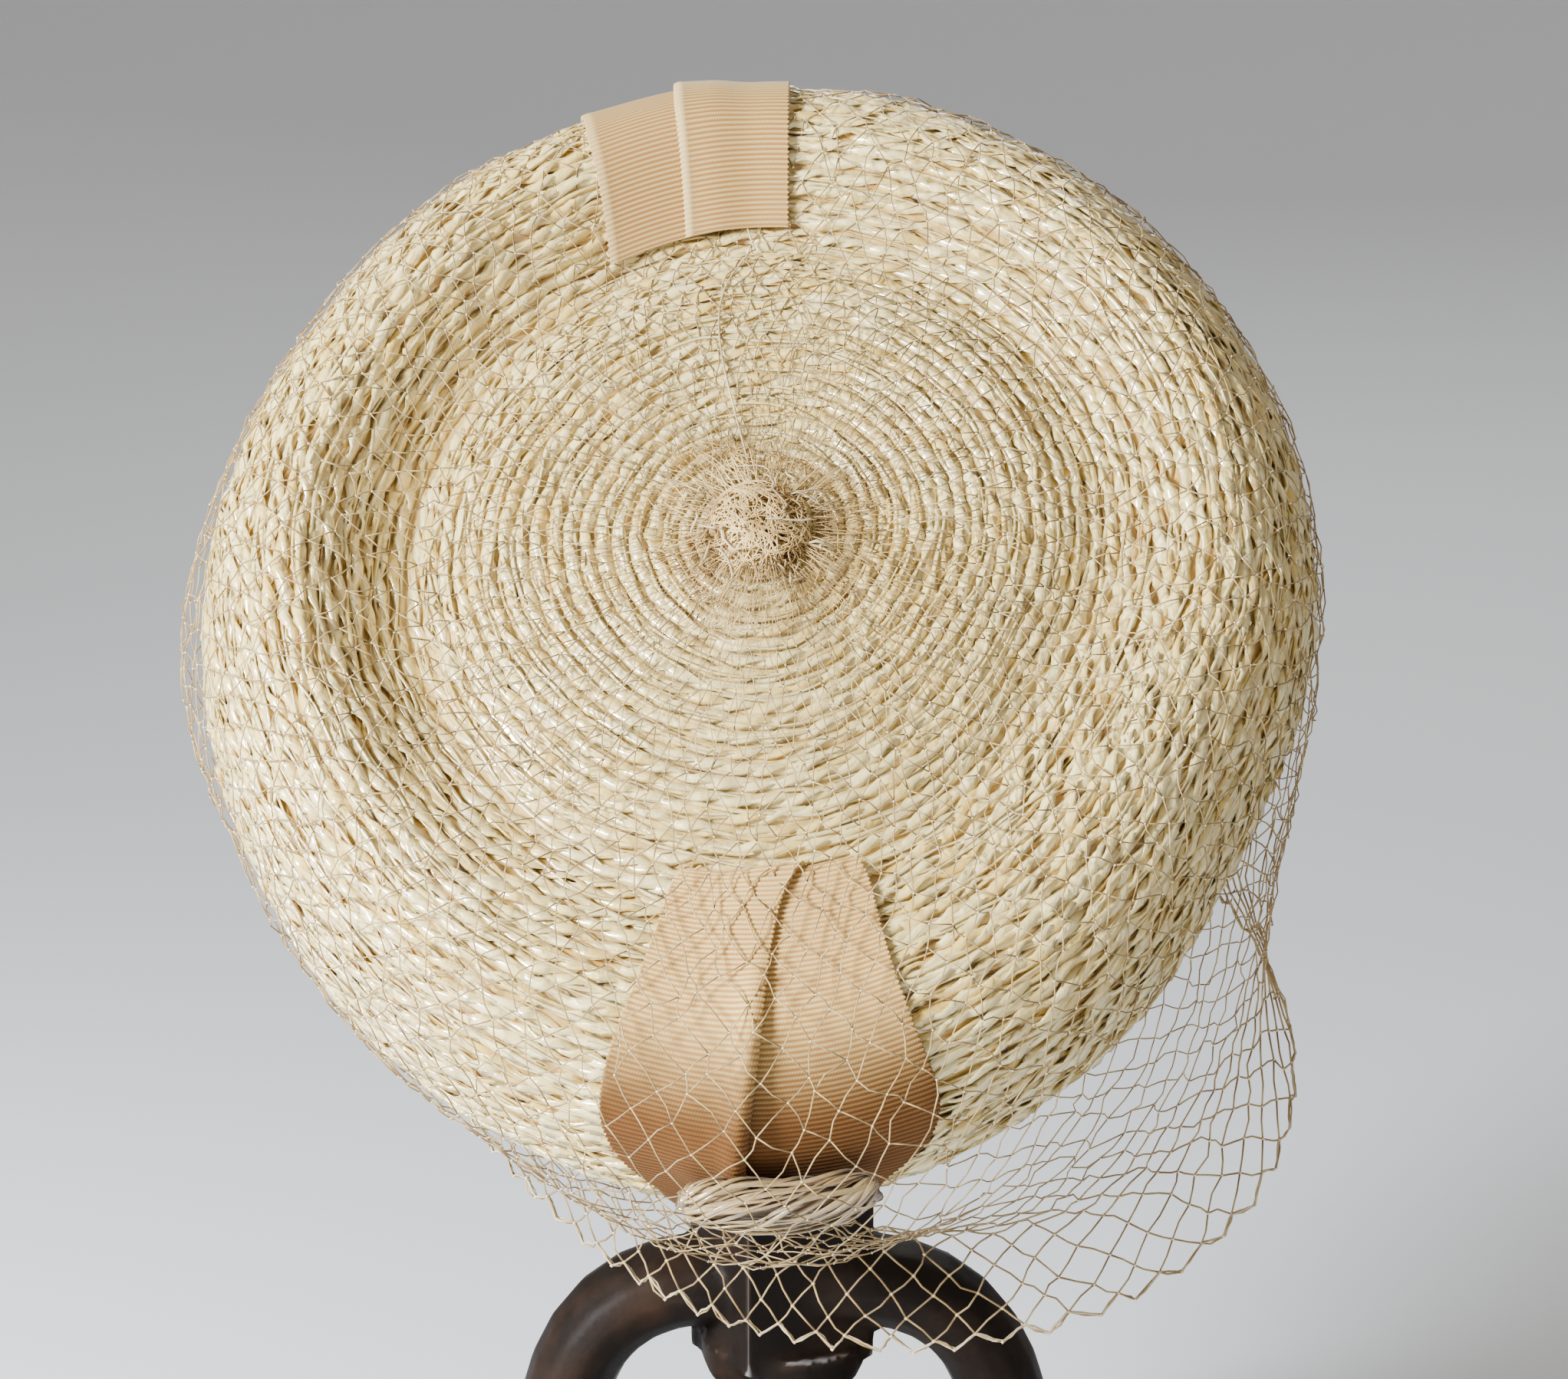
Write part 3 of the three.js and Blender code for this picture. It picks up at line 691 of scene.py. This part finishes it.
# %% The strips
GAP = 0.4 * MM
SEAT = 0.8 * MM
RIBBON = 1.0 * MM
RIB = 1.1 * MM
ROWS_TO_A_RIB = 3
RIBBON_COLUMNS = 17
BACK_STEPS = (4.15, 5.2, 6.6, 8.2, 9.7)
FRONT_STEPS = (3.3, 4.4, 5.3, 6.1, 6.6, 7.1, 8.2, 9.6)
# Each strip's shade_range is its painted shade near its start and further along it.
RIBBONS = {
    "back_ribbon_under": {
        "middle": 90, "layer": 0, "fold": 0.2, "selvedge": 0.6, "shade_range": (0.42, 0.55),
        "step": BACK_STEPS,
        "from": (11, 12, 13, 12, 10),
        "to": (34, 39, 41, 37, 33),
    },
    "back_ribbon_over": {
        "middle": 90, "layer": 1, "fold": 0.4, "selvedge": 1, "shade_range": (0.33, 0.5),
        "step": BACK_STEPS,
        "from": (-6, -6, -6, -6, -6),
        "to": (17, 19, 19, 18, 17),
    },
    "front_ribbon_right": {
        "middle": 270, "layer": 0, "fold": 0.2, "selvedge": 0, "shade_range": (0.05, 1),
        "step": FRONT_STEPS,
        "from": (4, 1, -3, -4, -2, 2, 3, 3),
        "to": (19, 24, 31, 36, 34, 25, 20, 18),
    },
    "front_ribbon_left": {
        "middle": 270, "layer": 1, "fold": 2.4, "selvedge": 0, "shade_range": (0, 1),
        "step": FRONT_STEPS,
        "from": (-14, -20, -28, -31, -28, -20, -14, -12),
        "to": (10, 3, 0, -2, -2, 4, 6, 5),
    },
}


def beside_line(middle, beside, step, lift):
    """Points at a distance beside a middle line that runs down the crown, in the hat's frame."""
    middle, beside, step, lift = spread(middle, beside, step, lift)
    radius = down_profile(profile(middle)[0], -1, step)
    return on_crown(middle + np.degrees(np.arcsin(beside / radius)), step, lift)


def slab(name, lower, upper, material, uv, numbers):
    """A thin closed body between two grids. uv is (rows, columns, 2), numbers are (rows, columns)."""
    rows, columns = lower.shape[:2]
    points = np.concatenate((upper.reshape(-1, 3), lower.reshape(-1, 3)))
    top = np.arange(rows * columns).reshape(rows, columns)
    under = top + rows * columns
    a, b, c, d = top[:-1, :-1], top[1:, :-1], top[1:, 1:], top[:-1, 1:]
    faces = [np.stack((a, b, c, d), axis=-1).reshape(-1, 4)]
    faces.append(faces[0][:, ::-1] + rows * columns)
    rim = np.concatenate((top[0, :-1], top[:-1, -1], top[-1, :0:-1], top[:0:-1, 0]))
    after = np.roll(rim, -1)
    faces.append(np.stack((rim, after, after + rows * columns, rim + rows * columns), axis=-1))
    both = np.concatenate((uv.reshape(-1, 2), uv.reshape(-1, 2)))
    corner_uv = np.concatenate([both[block.ravel()] for block in faces])
    return new_piece(name, points, faces, material, corner_uv,
                     {label: np.tile(values.ravel(), 2) for label, values in numbers.items()})


# %% [markdown]
# ### The ribbon finish
#
# The ribs are pale on their backs, and painted shade makes them browner between. Fine warp threads cross
# them, half a millimetre apart and shifted from rib to rib, and show as rows of small dots. The pattern
# reads the strip's own UV map, which is in metres. Two numbers on the points colour the rest: painted
# shade darkens the front strips to brown where they near the loop and the back strips along their whole
# length, and the corded edges at the back are paler.

# %% Ribbon material
WARP = 0.58 * MM
ribbon_cloth, tree, shader = new_material("grosgrain")
uv_map = tree.nodes.new("ShaderNodeUVMap")
uv_map.uv_map = "UVMap"
parts = tree.nodes.new("ShaderNodeSeparateXYZ")
tree.links.new(uv_map.outputs[0], parts.inputs[0])
rib_turn = math_node(tree, "MULTIPLY", parts.outputs["Y"], 2 * math.pi / RIB)
warp_turn = math_node(tree, "MULTIPLY", parts.outputs["X"], 2 * math.pi / WARP)
shifted = math_node(tree, "ADD", warp_turn, math_node(tree, "MULTIPLY", rib_turn, 0.5))
rib = remap(tree, math_node(tree, "COSINE", rib_turn), -1, 1)
dots = remap(tree, math_node(tree, "COSINE", shifted), -1, 1, 0.55, 1.0)
weave_and_rib_shade = math_node(tree, "MULTIPLY", rib, dots)
cloudy = noise(tree, 60, 3)
# Painted shade in the valleys between the ribs: they get the browner colour, the rib backs the paler one.
# The warp dots are the weave's pattern.
colour = mix_color(tree, remap(tree, weave_and_rib_shade, 0.1, 0.75), (0.45, 0.22, 0.052), (0.78, 0.565, 0.225))
colour = mix_color(tree, remap(tree, cloudy, 0.4, 0.75, 0.0, 0.3), colour, (0.60, 0.39, 0.14))
# Painted shade: the painted_shade number darkens the cloth towards brown.
colour = mix_color(tree, attribute(tree, "painted_shade"), colour, (0.21, 0.125, 0.042), "MULTIPLY")
edging = math_node(tree, "MULTIPLY", attribute(tree, "selvedge"), 0.75)
colour = mix_color(tree, edging, colour, (0.84, 0.64, 0.30))
tree.links.new(colour, shader.inputs["Base Color"])
bump(tree, shader, weave_and_rib_shade, 0.5, 0.12 * MM)
set_inputs(shader, {"Roughness": 0.72, "Sheen Weight": 0.1, "Specular IOR Level": 0.2})


# %% The four strips
def ribbon(name, middle, layer, fold, selvedge, shade_range, step, **edges):
    """One strip, worked out on a grid: rows along it, and columns from its left edge to its right."""
    ends = np.linspace(step[0], step[-1], 200)
    between = 0.5 * MM * sum(step_table(step, edges[side], ends) for side in edges)
    run = travel(beside_line(middle, between, ends, SEAT))
    length = run[-1]
    along = np.linspace(0, length, int(length / RIB) * ROWS_TO_A_RIB + 1)
    place = np.interp(along, run, ends)[:, None]
    wave = np.cos(2 * math.pi * along / RIB)[:, None]
    along = along[:, None]
    across = 0.5 - 0.5 * np.cos(np.linspace(0, math.pi, RIBBON_COLUMNS))[None, :]
    left, right = (step_table(step, edges[side], place) * MM for side in ("from", "to"))
    scallop = 0.22 * MM * wave
    beside = (left - scallop) * (1 - across) + (right + scallop) * across
    raised = layer * (RIBBON + GAP) * gentle(across, 0.3, 0.75)
    from_edge = (1 - across) * (right - left)
    rolled = fold * MM * np.exp(-((from_edge - 2.2 * MM) / (2.6 * MM)) ** 2)
    rolled = rolled * gentle(along, 0.08 * length, 0.3 * length)
    ripple = 0.25 * MM * np.sin(along / (17 * MM) + 2.5 * across)
    floor_lift = np.broadcast_to(SEAT + raised + rolled + ripple + 0.1 * MM, beside.shape)
    corded = selvedge * np.exp(-((from_edge - 0.8 * MM) / (0.8 * MM)) ** 2)
    height = (0.7 + 0.17 * wave * (1 - 0.7 * corded) + 0.4 * corded) * MM
    lower = beside_line(middle, beside, place, floor_lift).reshape(*beside.shape, 3)
    upper = beside_line(middle, beside, place, floor_lift + height).reshape(*beside.shape, 3)
    uv = np.stack(np.broadcast_arrays(beside, along), axis=-1)
    # Painted shade along the strip, from the first value of the range to the second between 22 and 43
    # percent of its length.
    shaded_share = shade_range[0] + (shade_range[1] - shade_range[0]) * gentle(along, 0.22 * length, 0.43 * length)
    numbers = {"painted_shade": np.broadcast_to(shaded_share, beside.shape), "selvedge": corded}
    piece = slab(name + "_cloth", lower, upper, ribbon_cloth, uv, numbers)
    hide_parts(name)
    placed(piece)


for ribbon_name, course in RIBBONS.items():
    ribbon(ribbon_name, **course)

# %% [markdown]
# ## The straw loop
#
# The front ribbons are gathered into a small bundle of loose, glossy straw. It is built of separate flat
# straws that run side by side along the loop and turn slowly round it, tighter at its ends, over a plain
# core that closes the view between them. Its straw finish is a darker copy of the straw's, painted shade
# for a loop that lies low under the ribbons, and more painted shade falls on its underside, its right end
# and its core.

# %% Bundle of straws
LOOP = {"from": -14, "to": 22, "step": 6.65, "half": 6.2, "height": 9}
STEP_LENGTH = 23
# Painted shade: the loop's straw colours are the straw's made darker, for the shade the loop lies in.
loop_straw_in_shade = straw_material("loop_straw_in_shade", (0.54, 0.39, 0.16), (0.32, 0.18, 0.05), (0.11, 0.05, 0.01))


def in_loop(part, turn, reach):
    """Points in the bundle: part runs along it, turn round it, and reach from its core to its skin."""
    beside = LOOP["from"] + (LOOP["to"] - LOOP["from"]) * (0.5 - 0.5 * np.cos(part * math.pi))
    size = np.sqrt(np.maximum(np.sin(part * math.pi), 0.1)) * reach
    step = LOOP["step"] + LOOP["half"] * size * np.cos(turn) / STEP_LENGTH
    floor_lift = SEAT + 2 * (RIBBON + GAP)
    lift = floor_lift + LOOP["height"] / 2 * MM * (1 + size * np.sin(turn))
    return beside_line(270, beside * MM, step, lift)


def loop_strands(name, count, stations, reach, wide, seed, shade_depth):
    """Straws side by side round the loop. Those at its underside and its right end get painted shade."""
    chance = np.random.default_rng(seed)
    part = np.linspace(0.01, 0.99, stations)[None, :]
    start = np.arange(count)[:, None] * 2 * math.pi / count + chance.uniform(-0.3, 0.3, (count, 1))
    turn = start + 3.4 * part + 0.35 * np.sin(part * 9 + chance.uniform(0, 6, (count, 1)))
    loose = 1 + 0.12 * chance.uniform(-1, 1, (count, 1)) + 0.07 * np.sin(part * 14 + 7 * start)
    centres = in_loop(part + 0 * turn, turn, reach * loose).reshape(count, stations, 3)
    core = in_loop(part + 0 * turn, turn, 0 * turn).reshape(count, stations, 3)
    breadth = wide * (0.8 + 0.35 * np.sin(part * 11 + 5 * start)) * MM
    tint = 0.6 + 0.4 * np.sin(3 * start + 4 * part)
    # Painted shade on the underside and towards the right end of the loop.
    shaded = shade_depth + 0.5 * gentle(-np.sin(turn), -0.2, 0.9) + 0.4 * gentle(part, 0.2, 0.65)
    strands = strand_piece(name, centres, unit(centres - core), breadth, breadth * 0.5, 6, loop_straw_in_shade,
                           tint, shaded[..., None])
    placed(strands)
    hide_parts("straw_loop")


# The core gets more painted shade than the outer straws.
loop_strands("straw_loop_core", 8, 22, 0.45, 2.2, 5, 0.7)
loop_strands("straw_loop_strands", 44, 34, 0.95, 0.54, 6, 0.1)

# %% [markdown]
# ## The veil
#
# Veiling is a net of thin stiff thread with a tiny knot at each crossing. It is gathered to a point on
# the tip, so every thread of the wide hem runs up to the middle, where the diamonds close up. The net is
# laid out as rows of knots at equal distances down the same form as the construction's coarse net, with
# two threads down from every knot. Small slips of knots and threads loosen it.

# %% The form of the veil
HEM = {"out": (8, 6, 6, 5, 6, 2, 11, 57), "drop": (28, 26, 22, 25, 27, 27, 34, 11)}
VEIL_PLACES = {
    "step": (0.3, 2, 3, 5, 6, 7, 8, 9, 10, 10),
    "flare": (0, 0, 0, 0, 0, 0.05, 0.25, 0.55, 0.85, 1),
    "hang": (0, 0, 0, 0, 0, 0, 0, 0, 0.2, 1),
}
NET_LIFT = 1.0 * MM
FRONT, LEFT, BACK_RIBBONS = 272, 186, 100  # where they lie, in degrees round the hat
TO_FLOOR = np.array((0, -math.sin(HAT_TILT), -math.cos(HAT_TILT)))


def swell(distance, reach):
    """One at the middle of a window and zero at its ends."""
    inside = np.abs(distance) < reach
    return np.where(inside, np.cos(distance / reach * math.pi / 2) ** 2, 0)


def degrees_from(middle, angle):
    """How far an angle is from a middle one, from -180 to 180."""
    return np.mod(angle - middle + 180, 360) - 180


def veil_guides(angle, extra):
    """For each angle, the points that the net passes through from the tip to the hem: (10, n, 3)."""
    front = degrees_from(FRONT, angle)
    left = degrees_from(LEFT, angle)
    over_ribbons = 3.4 * MM * swell(front, 44)
    out = np.stack((np.cos(np.radians(angle)), np.sin(np.radians(angle)), 0 * angle), axis=-1)
    out = out * round_table(HEM["out"], angle)[:, None] * MM
    down = TO_FLOOR * round_table(HEM["drop"], angle)[:, None] * MM
    guides = []
    for place, (step, flare, hang) in enumerate(zip(*VEIL_PLACES.values())):
        over_loop = 11 * MM * swell(front, 30) * swell(place - 4.7, 2)
        stand_off = 3.5 * MM * swell(left, 26) * swell(place - 5.5, 2.5)
        lift = NET_LIFT + over_ribbons + over_loop + stand_off + extra
        guides.append(on_crown(angle, np.full_like(angle, step), lift) + flare * out + hang * down)
    return np.array(guides)


def on_veil(angle, place, extra=0.0):
    """Points on the net, in the hat's frame. place runs from 0 at the tip to 9 at the hem. The net hangs
    free over the groove, but the ribbons at the back are sewn down over it and catch it."""
    angle, place, extra = spread(angle, place, extra)
    guides = veil_guides(angle, extra)
    row = np.clip(np.floor(place).astype(int), 0, 8)
    column = np.arange(len(angle))
    a, b, c, d = (guides[np.clip(row + k, 0, 9), column] for k in (-1, 0, 1, 2))
    hung = smooth(a, b, c, d, (place - row)[:, None])
    caught = gentle(24 - np.abs(degrees_from(BACK_RIBBONS, angle)), 0, 8) * gentle(7 - place, 0, 1)
    held = on_crown(angle, np.interp(place, np.arange(10), VEIL_PLACES["step"]), 0.25 * MM + 0.3 * extra)
    return hung + (held - hung) * caught[:, None]


# %% Equal rows of knots
NET_AROUND = 96
NET_ROWS = 50
veil_angles = np.arange(0, 361, 6.0)
veil_steps = np.linspace(0, 9, 181)
veil_lines = on_veil(veil_angles[:, None], veil_steps[None, :]).reshape(len(veil_angles), -1, 3)
veil_run = travel(veil_lines)
row_shares = np.append(np.arange(NET_ROWS) / (NET_ROWS - 0.4), 1)  # the last row is a shorter one
row_places = np.array([np.interp(row_shares * run[-1], run, veil_steps) for run in veil_run])
print("net from tip to hem", veil_run[:, -1].min().round(3), veil_run[:, -1].max().round(3))


def knot_places():
    """Angle and place of every knot: (rows, around)."""
    row = np.arange(NET_ROWS + 1)[:, None]
    angle = (np.arange(NET_AROUND)[None, :] + (row % 2) / 2) * 360 / NET_AROUND
    place = np.array([np.interp(np.mod(angle[i], 360), veil_angles, row_places[:, i])
                      for i in range(NET_ROWS + 1)])
    slack = gentle(row, 0, 8) * (1 - 0.5 * gentle(row, 38, 45))
    angle = angle + slack * rng.normal(0, 0.55, angle.shape)
    middle_rows = (row > 0) & (row < NET_ROWS)
    place = place + middle_rows * slack * rng.normal(0, 0.03, place.shape)
    return angle, np.clip(place, 0, 9)


# %% Threads and knots
THREAD = 0.2 * MM
KNOT = 0.38 * MM
KNOT_TONE = (0.84, 0.70, 0.43)
THREAD_UP = np.array((0.13, 0.21, 0.97))  # a way that no thread runs in, to turn its rings by


def thread_material(name, dark, light):
    """Matt thread, mottled between two tones, with paler knots where the piece has a knot number."""
    material, tree, shader = new_material(name)
    colour = mix_color(tree, remap(tree, noise(tree, 140), 0.35, 0.65), dark, light)
    colour = mix_color(tree, attribute(tree, "knot"), colour, KNOT_TONE)
    tree.links.new(colour, shader.inputs["Base Color"])
    set_inputs(shader, {"Roughness": 0.5, "Sheen Weight": 0.1})
    return material


def round_threads(paths, sizes, sides):
    """The points of round threads along paths. paths are (threads, stations, 3)."""
    sizes = np.broadcast_to(sizes, paths.shape[:2])
    return tube_points(paths, np.broadcast_to(THREAD_UP, paths.shape), sizes, sizes, sides)


def thread_piece(name, paths, sizes, sides, material):
    faces = tube_faces(*paths.shape[:2], sides)
    return placed(new_piece(name, round_threads(paths, sizes, sides), faces, material))


veil_thread = thread_material("veil_thread", (0.25, 0.15, 0.05), (0.50, 0.35, 0.145))
knot_angle, knot_place = knot_places()
slip = rng.uniform(0, 0.8, knot_angle.shape) * MM
knots = on_veil(knot_angle, knot_place, slip).reshape(NET_ROWS + 1, NET_AROUND, 3)
knot_row = np.arange(NET_ROWS + 1.0)
gathered = 0.52 + 0.36 * gentle(knot_row, 0, 11) + 0.36 * gentle(knot_row, 36, 45)
rows = np.arange(NET_ROWS)[:, None]
index = np.arange(NET_AROUND)[None, :]
starts = np.tile(knots[rows, index].reshape(-1, 3), (2, 1))
ends = np.concatenate([knots[rows + 1, (index - 1 + side + rows % 2) % NET_AROUND].reshape(-1, 3)
                       for side in (0, 1)])
sizes = np.tile(np.repeat(gathered[:-1], NET_AROUND) * THREAD, 2)
middles = (starts + ends) / 2 + rng.normal(0, 0.38, starts.shape) * MM
threads = np.stack((starts, middles, ends), axis=1)
thread_points = round_threads(threads, sizes[:, None], 3)
thread_faces = tube_faces(len(threads), 3, 3)
corners = np.array(((1, 0, 0), (0, 1, 0), (-1, 0, 0), (0, -1, 0), (0, 0, 1), (0, 0, -1))) * KNOT
knot_size = np.repeat(gathered, NET_AROUND)[:, None, None]
knot_points = (knots.reshape(-1, 1, 3) + corners[None] * knot_size).reshape(-1, 3)
knot_faces = np.array([(i, (i + 1) % 4, 4) for i in range(4)] + [((i + 1) % 4, i, 5) for i in range(4)])
first_knot = thread_points.size // 3 + np.arange(knots.size // 3)[:, None, None] * len(corners)
knot_faces = (first_knot + knot_faces[None]).reshape(-1, 3)
net_points = np.concatenate((thread_points.reshape(-1, 3), knot_points))
knotted = np.arange(len(net_points)) >= thread_points.size // 3
veil = new_piece("veil_net", net_points, (*thread_faces, knot_faces), veil_thread,
                 numbers={"knot": knotted})

# %% [markdown]
# ### The hem of the veil
#
# The last row of the net is doubled: a second, heavier and paler thread zigzags along it through the
# last two rows of knots, which gives the hem its pointed scallops.

# %% Hem threads
pale_thread = thread_material("veil_hem_thread", (0.42, 0.31, 0.15), (0.66, 0.54, 0.33))


def hem_thread(name, size, aside, seed):
    """A zigzag through the last two rows of knots, a little to one side of the net's own threads."""
    inner, edge = knots[-2], knots[-1]
    if NET_ROWS % 2 == 0:
        edge = np.roll(edge, -1, axis=0)
    legs = np.stack((inner, edge), axis=1).reshape(-1, 3)
    after = np.roll(legs, -1, axis=0)
    path = np.stack((legs, legs * 0.67 + after * 0.33, legs * 0.33 + after * 0.67), axis=1)
    path = path.reshape(-1, 3)
    slips = np.random.default_rng(seed).normal(0, 0.16, path.shape)
    path = path + (np.array(aside) + slips) * MM
    return thread_piece(name, np.concatenate((path, path[:1]))[None], size * MM, 4, pale_thread)


hems = [hem_thread("veil_hem_thread", 0.26, (0, 0, 0.1), 51),
        hem_thread("veil_hem_second", 0.2, (0.3, 0.3, -0.3), 52)]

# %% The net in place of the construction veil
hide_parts("veil", "veil_hem")
placed(veil)

# %% [markdown]
# ## The tuft
#
# Where the net is gathered, its thread ends make a small fuzzy tangle: a low heap of short curly
# threads, thinner curls that spread out flat over the straw, and a few thicker frayed ends of straw. One
# long pale thread runs from it up to the ribbons at the back, and four stitches hold the front ribbons.

# %% Curly threads
def curly(name, count, stations, pace, size, reach, height, inner, material, seed):
    """Short threads that wander inside a low dome, from an inner radius outwards."""
    chance = np.random.default_rng(seed)
    low = np.array((0, 0, GAP))
    room = np.array((reach, reach, height)) * MM

    def kept_inside(points):
        away = (points - low) / room
        away = away / np.maximum(np.linalg.norm(away, axis=-1, keepdims=True), 1)
        away[..., 2] = np.maximum(away[..., 2], 0.03)
        return low + away * room

    radius = np.sqrt(chance.uniform((inner / reach) ** 2, 0.92, count)) * reach * MM
    turn = chance.uniform(0, 2 * math.pi, count)
    lump = 1 + 0.16 * np.sin(3 * turn + 0.8)
    here = np.stack((radius * lump * np.cos(turn), radius * lump * np.sin(turn),
                     chance.uniform(0.1, 1, count) * height * MM), axis=-1)
    heading = unit(chance.normal(0, 1, (count, 3)))
    bend = chance.normal(0, 0.55, (count, 3))
    path = []
    for _ in range(stations):
        path.append(kept_inside(here))
        heading = unit(heading + bend + chance.normal(0, 0.25, (count, 3)))
        bend = 0.75 * bend + chance.normal(0, 0.35, (count, 3))
        here = kept_inside(here + heading * pace * MM)
    taper = np.interp(np.linspace(0, 1, stations), (0, 0.15, 0.85, 1), (0.5, 1, 1, 0.5))
    wide = size * MM * chance.uniform(0.7, 1.2, (count, 1)) * taper
    return thread_piece(name, np.stack(path, axis=1), wide, 3, material)


tuft_thread = thread_material("tuft_thread", (0.42, 0.25, 0.07), (0.88, 0.65, 0.27))
tuft = curly("veil_tuft_threads", 560, 10, 1.3, 0.17, 11.5, 6.5, 0, tuft_thread, 77)
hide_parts("veil_tuft")
curly("veil_tuft_spread", 300, 8, 1.8, 0.12, 25, 2.2, 8, tuft_thread, 78)
curly("veil_tuft_frayed", 34, 7, 1.6, 0.3, 16, 8, 2, pale_thread, 79)

# %% The long thread
steps_back = np.linspace(0.35, 4.15, 40)
wobble = 96 + 5 * np.sin(steps_back * 1.3)
long_path = on_crown(wobble, steps_back, (0.9 + 0.5 * np.sin(steps_back * 2)) * MM)
thread_piece("long_thread", long_path[None], 0.22 * MM, 4, pale_thread)

# %% Stitches at the upper corners of the front ribbons
# Each is a place beside the middle line, a step, a length in millimetres and a slant in degrees.
STITCHES = ((-14.8, 3.44, 3.2, 8), (-14.6, 3.56, 2.6, -12), (-12.2, 3.34, 2.2, 55), (9.2, 3.40, 2.0, 60))
STEP_THERE = 8.5  # millimetres to a step at this part of the crown
along = np.linspace(-1, 1, 7)
stitches = []
for beside, step, reach, slant in STITCHES:
    slant = math.radians(slant)
    aside = beside + reach * math.cos(slant) * along / 2
    down = step + reach * math.sin(slant) * along / 2 / STEP_THERE
    lift = (1.75 + 0.45 * along + 0.5 * (1 - along ** 2)) * MM
    stitches.append(beside_line(270, aside * MM, down, lift))
thread_piece("ribbon_stitches", np.array(stitches), 0.22 * MM, 5, tuft_thread)

# %% [markdown]
# ## The iron stand
#
# The stand is one casting, dark and a little rusty, and rubbed bright along its edges, a pale metal that
# is partly real wear and partly a painted highlight. Its construction solid has the right shape but hard
# facets, so a copy of it is merged, remeshed finely and smoothed a little: that rounds the edges and gives
# the joints of post and arms the soft fillets of a casting.

# %% Casting
iron, tree, shader = new_material("worn_iron")
edges = tree.nodes.new("ShaderNodeNewGeometry").outputs["Pointiness"]
grain = noise(tree, 420, 4, 0.65)
patches = noise(tree, 38, 4, 0.6)
worn = remap(tree, edges, 0.52, 0.60)
worn = math_node(tree, "MULTIPLY", worn, remap(tree, patches, 0.35, 0.6), clamp=True)
rusty = remap(tree, patches, 0.5, 0.7, 0.0, 0.6)
dark = mix_color(tree, rusty, (0.009, 0.006, 0.0045), (0.034, 0.017, 0.009))
metal = mix_color(tree, worn, dark, (0.10, 0.058, 0.036))
# Partly wear, partly painted highlight: the sharpest edges get a pale steel-grey colour.
rubbed_edges_and_highlight = remap(tree, edges, 0.545, 0.60)
metal = mix_color(tree, rubbed_edges_and_highlight, metal, (0.34, 0.34, 0.35))
tree.links.new(metal, shader.inputs["Base Color"])
dull = remap(tree, patches, 0.3, 0.7, 0.4, 0.65)
dull = math_node(tree, "SUBTRACT", dull, math_node(tree, "MULTIPLY", rubbed_edges_and_highlight, 0.15))
tree.links.new(dull, shader.inputs["Roughness"])
bump(tree, shader, grain, 0.35, 0.3 * MM)
set_inputs(shader, {"Metallic": 0.05, "Specular IOR Level": 0.09})

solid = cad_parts["stand"]
casting = bpy.data.objects.new("stand_casting", solid.data.copy())
bpy.context.scene.collection.objects.link(casting)
casting.matrix_world = solid.matrix_world.copy()
bpy.ops.object.select_all(action="DESELECT")
casting.select_set(True)
bpy.context.view_layer.objects.active = casting
bpy.ops.object.mode_set(mode="EDIT")
bpy.ops.mesh.select_all(action="SELECT")
bpy.ops.mesh.remove_doubles(threshold=0.01 * MM)
bpy.ops.object.mode_set(mode="OBJECT")
casting.data.remesh_voxel_size = 1.75 * MM
bpy.ops.object.voxel_remesh()
rounding = casting.modifiers.new("rounding", "SMOOTH")
rounding.factor = 0.5
rounding.iterations = 2
bpy.ops.object.modifier_apply(modifier=rounding.name)
bpy.ops.object.shade_smooth()
casting.data.materials.clear()
casting.data.materials.append(iron)
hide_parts("stand")
placed(casting)
print("stand_casting has", 2 * len(casting.data.polygons), "triangles")
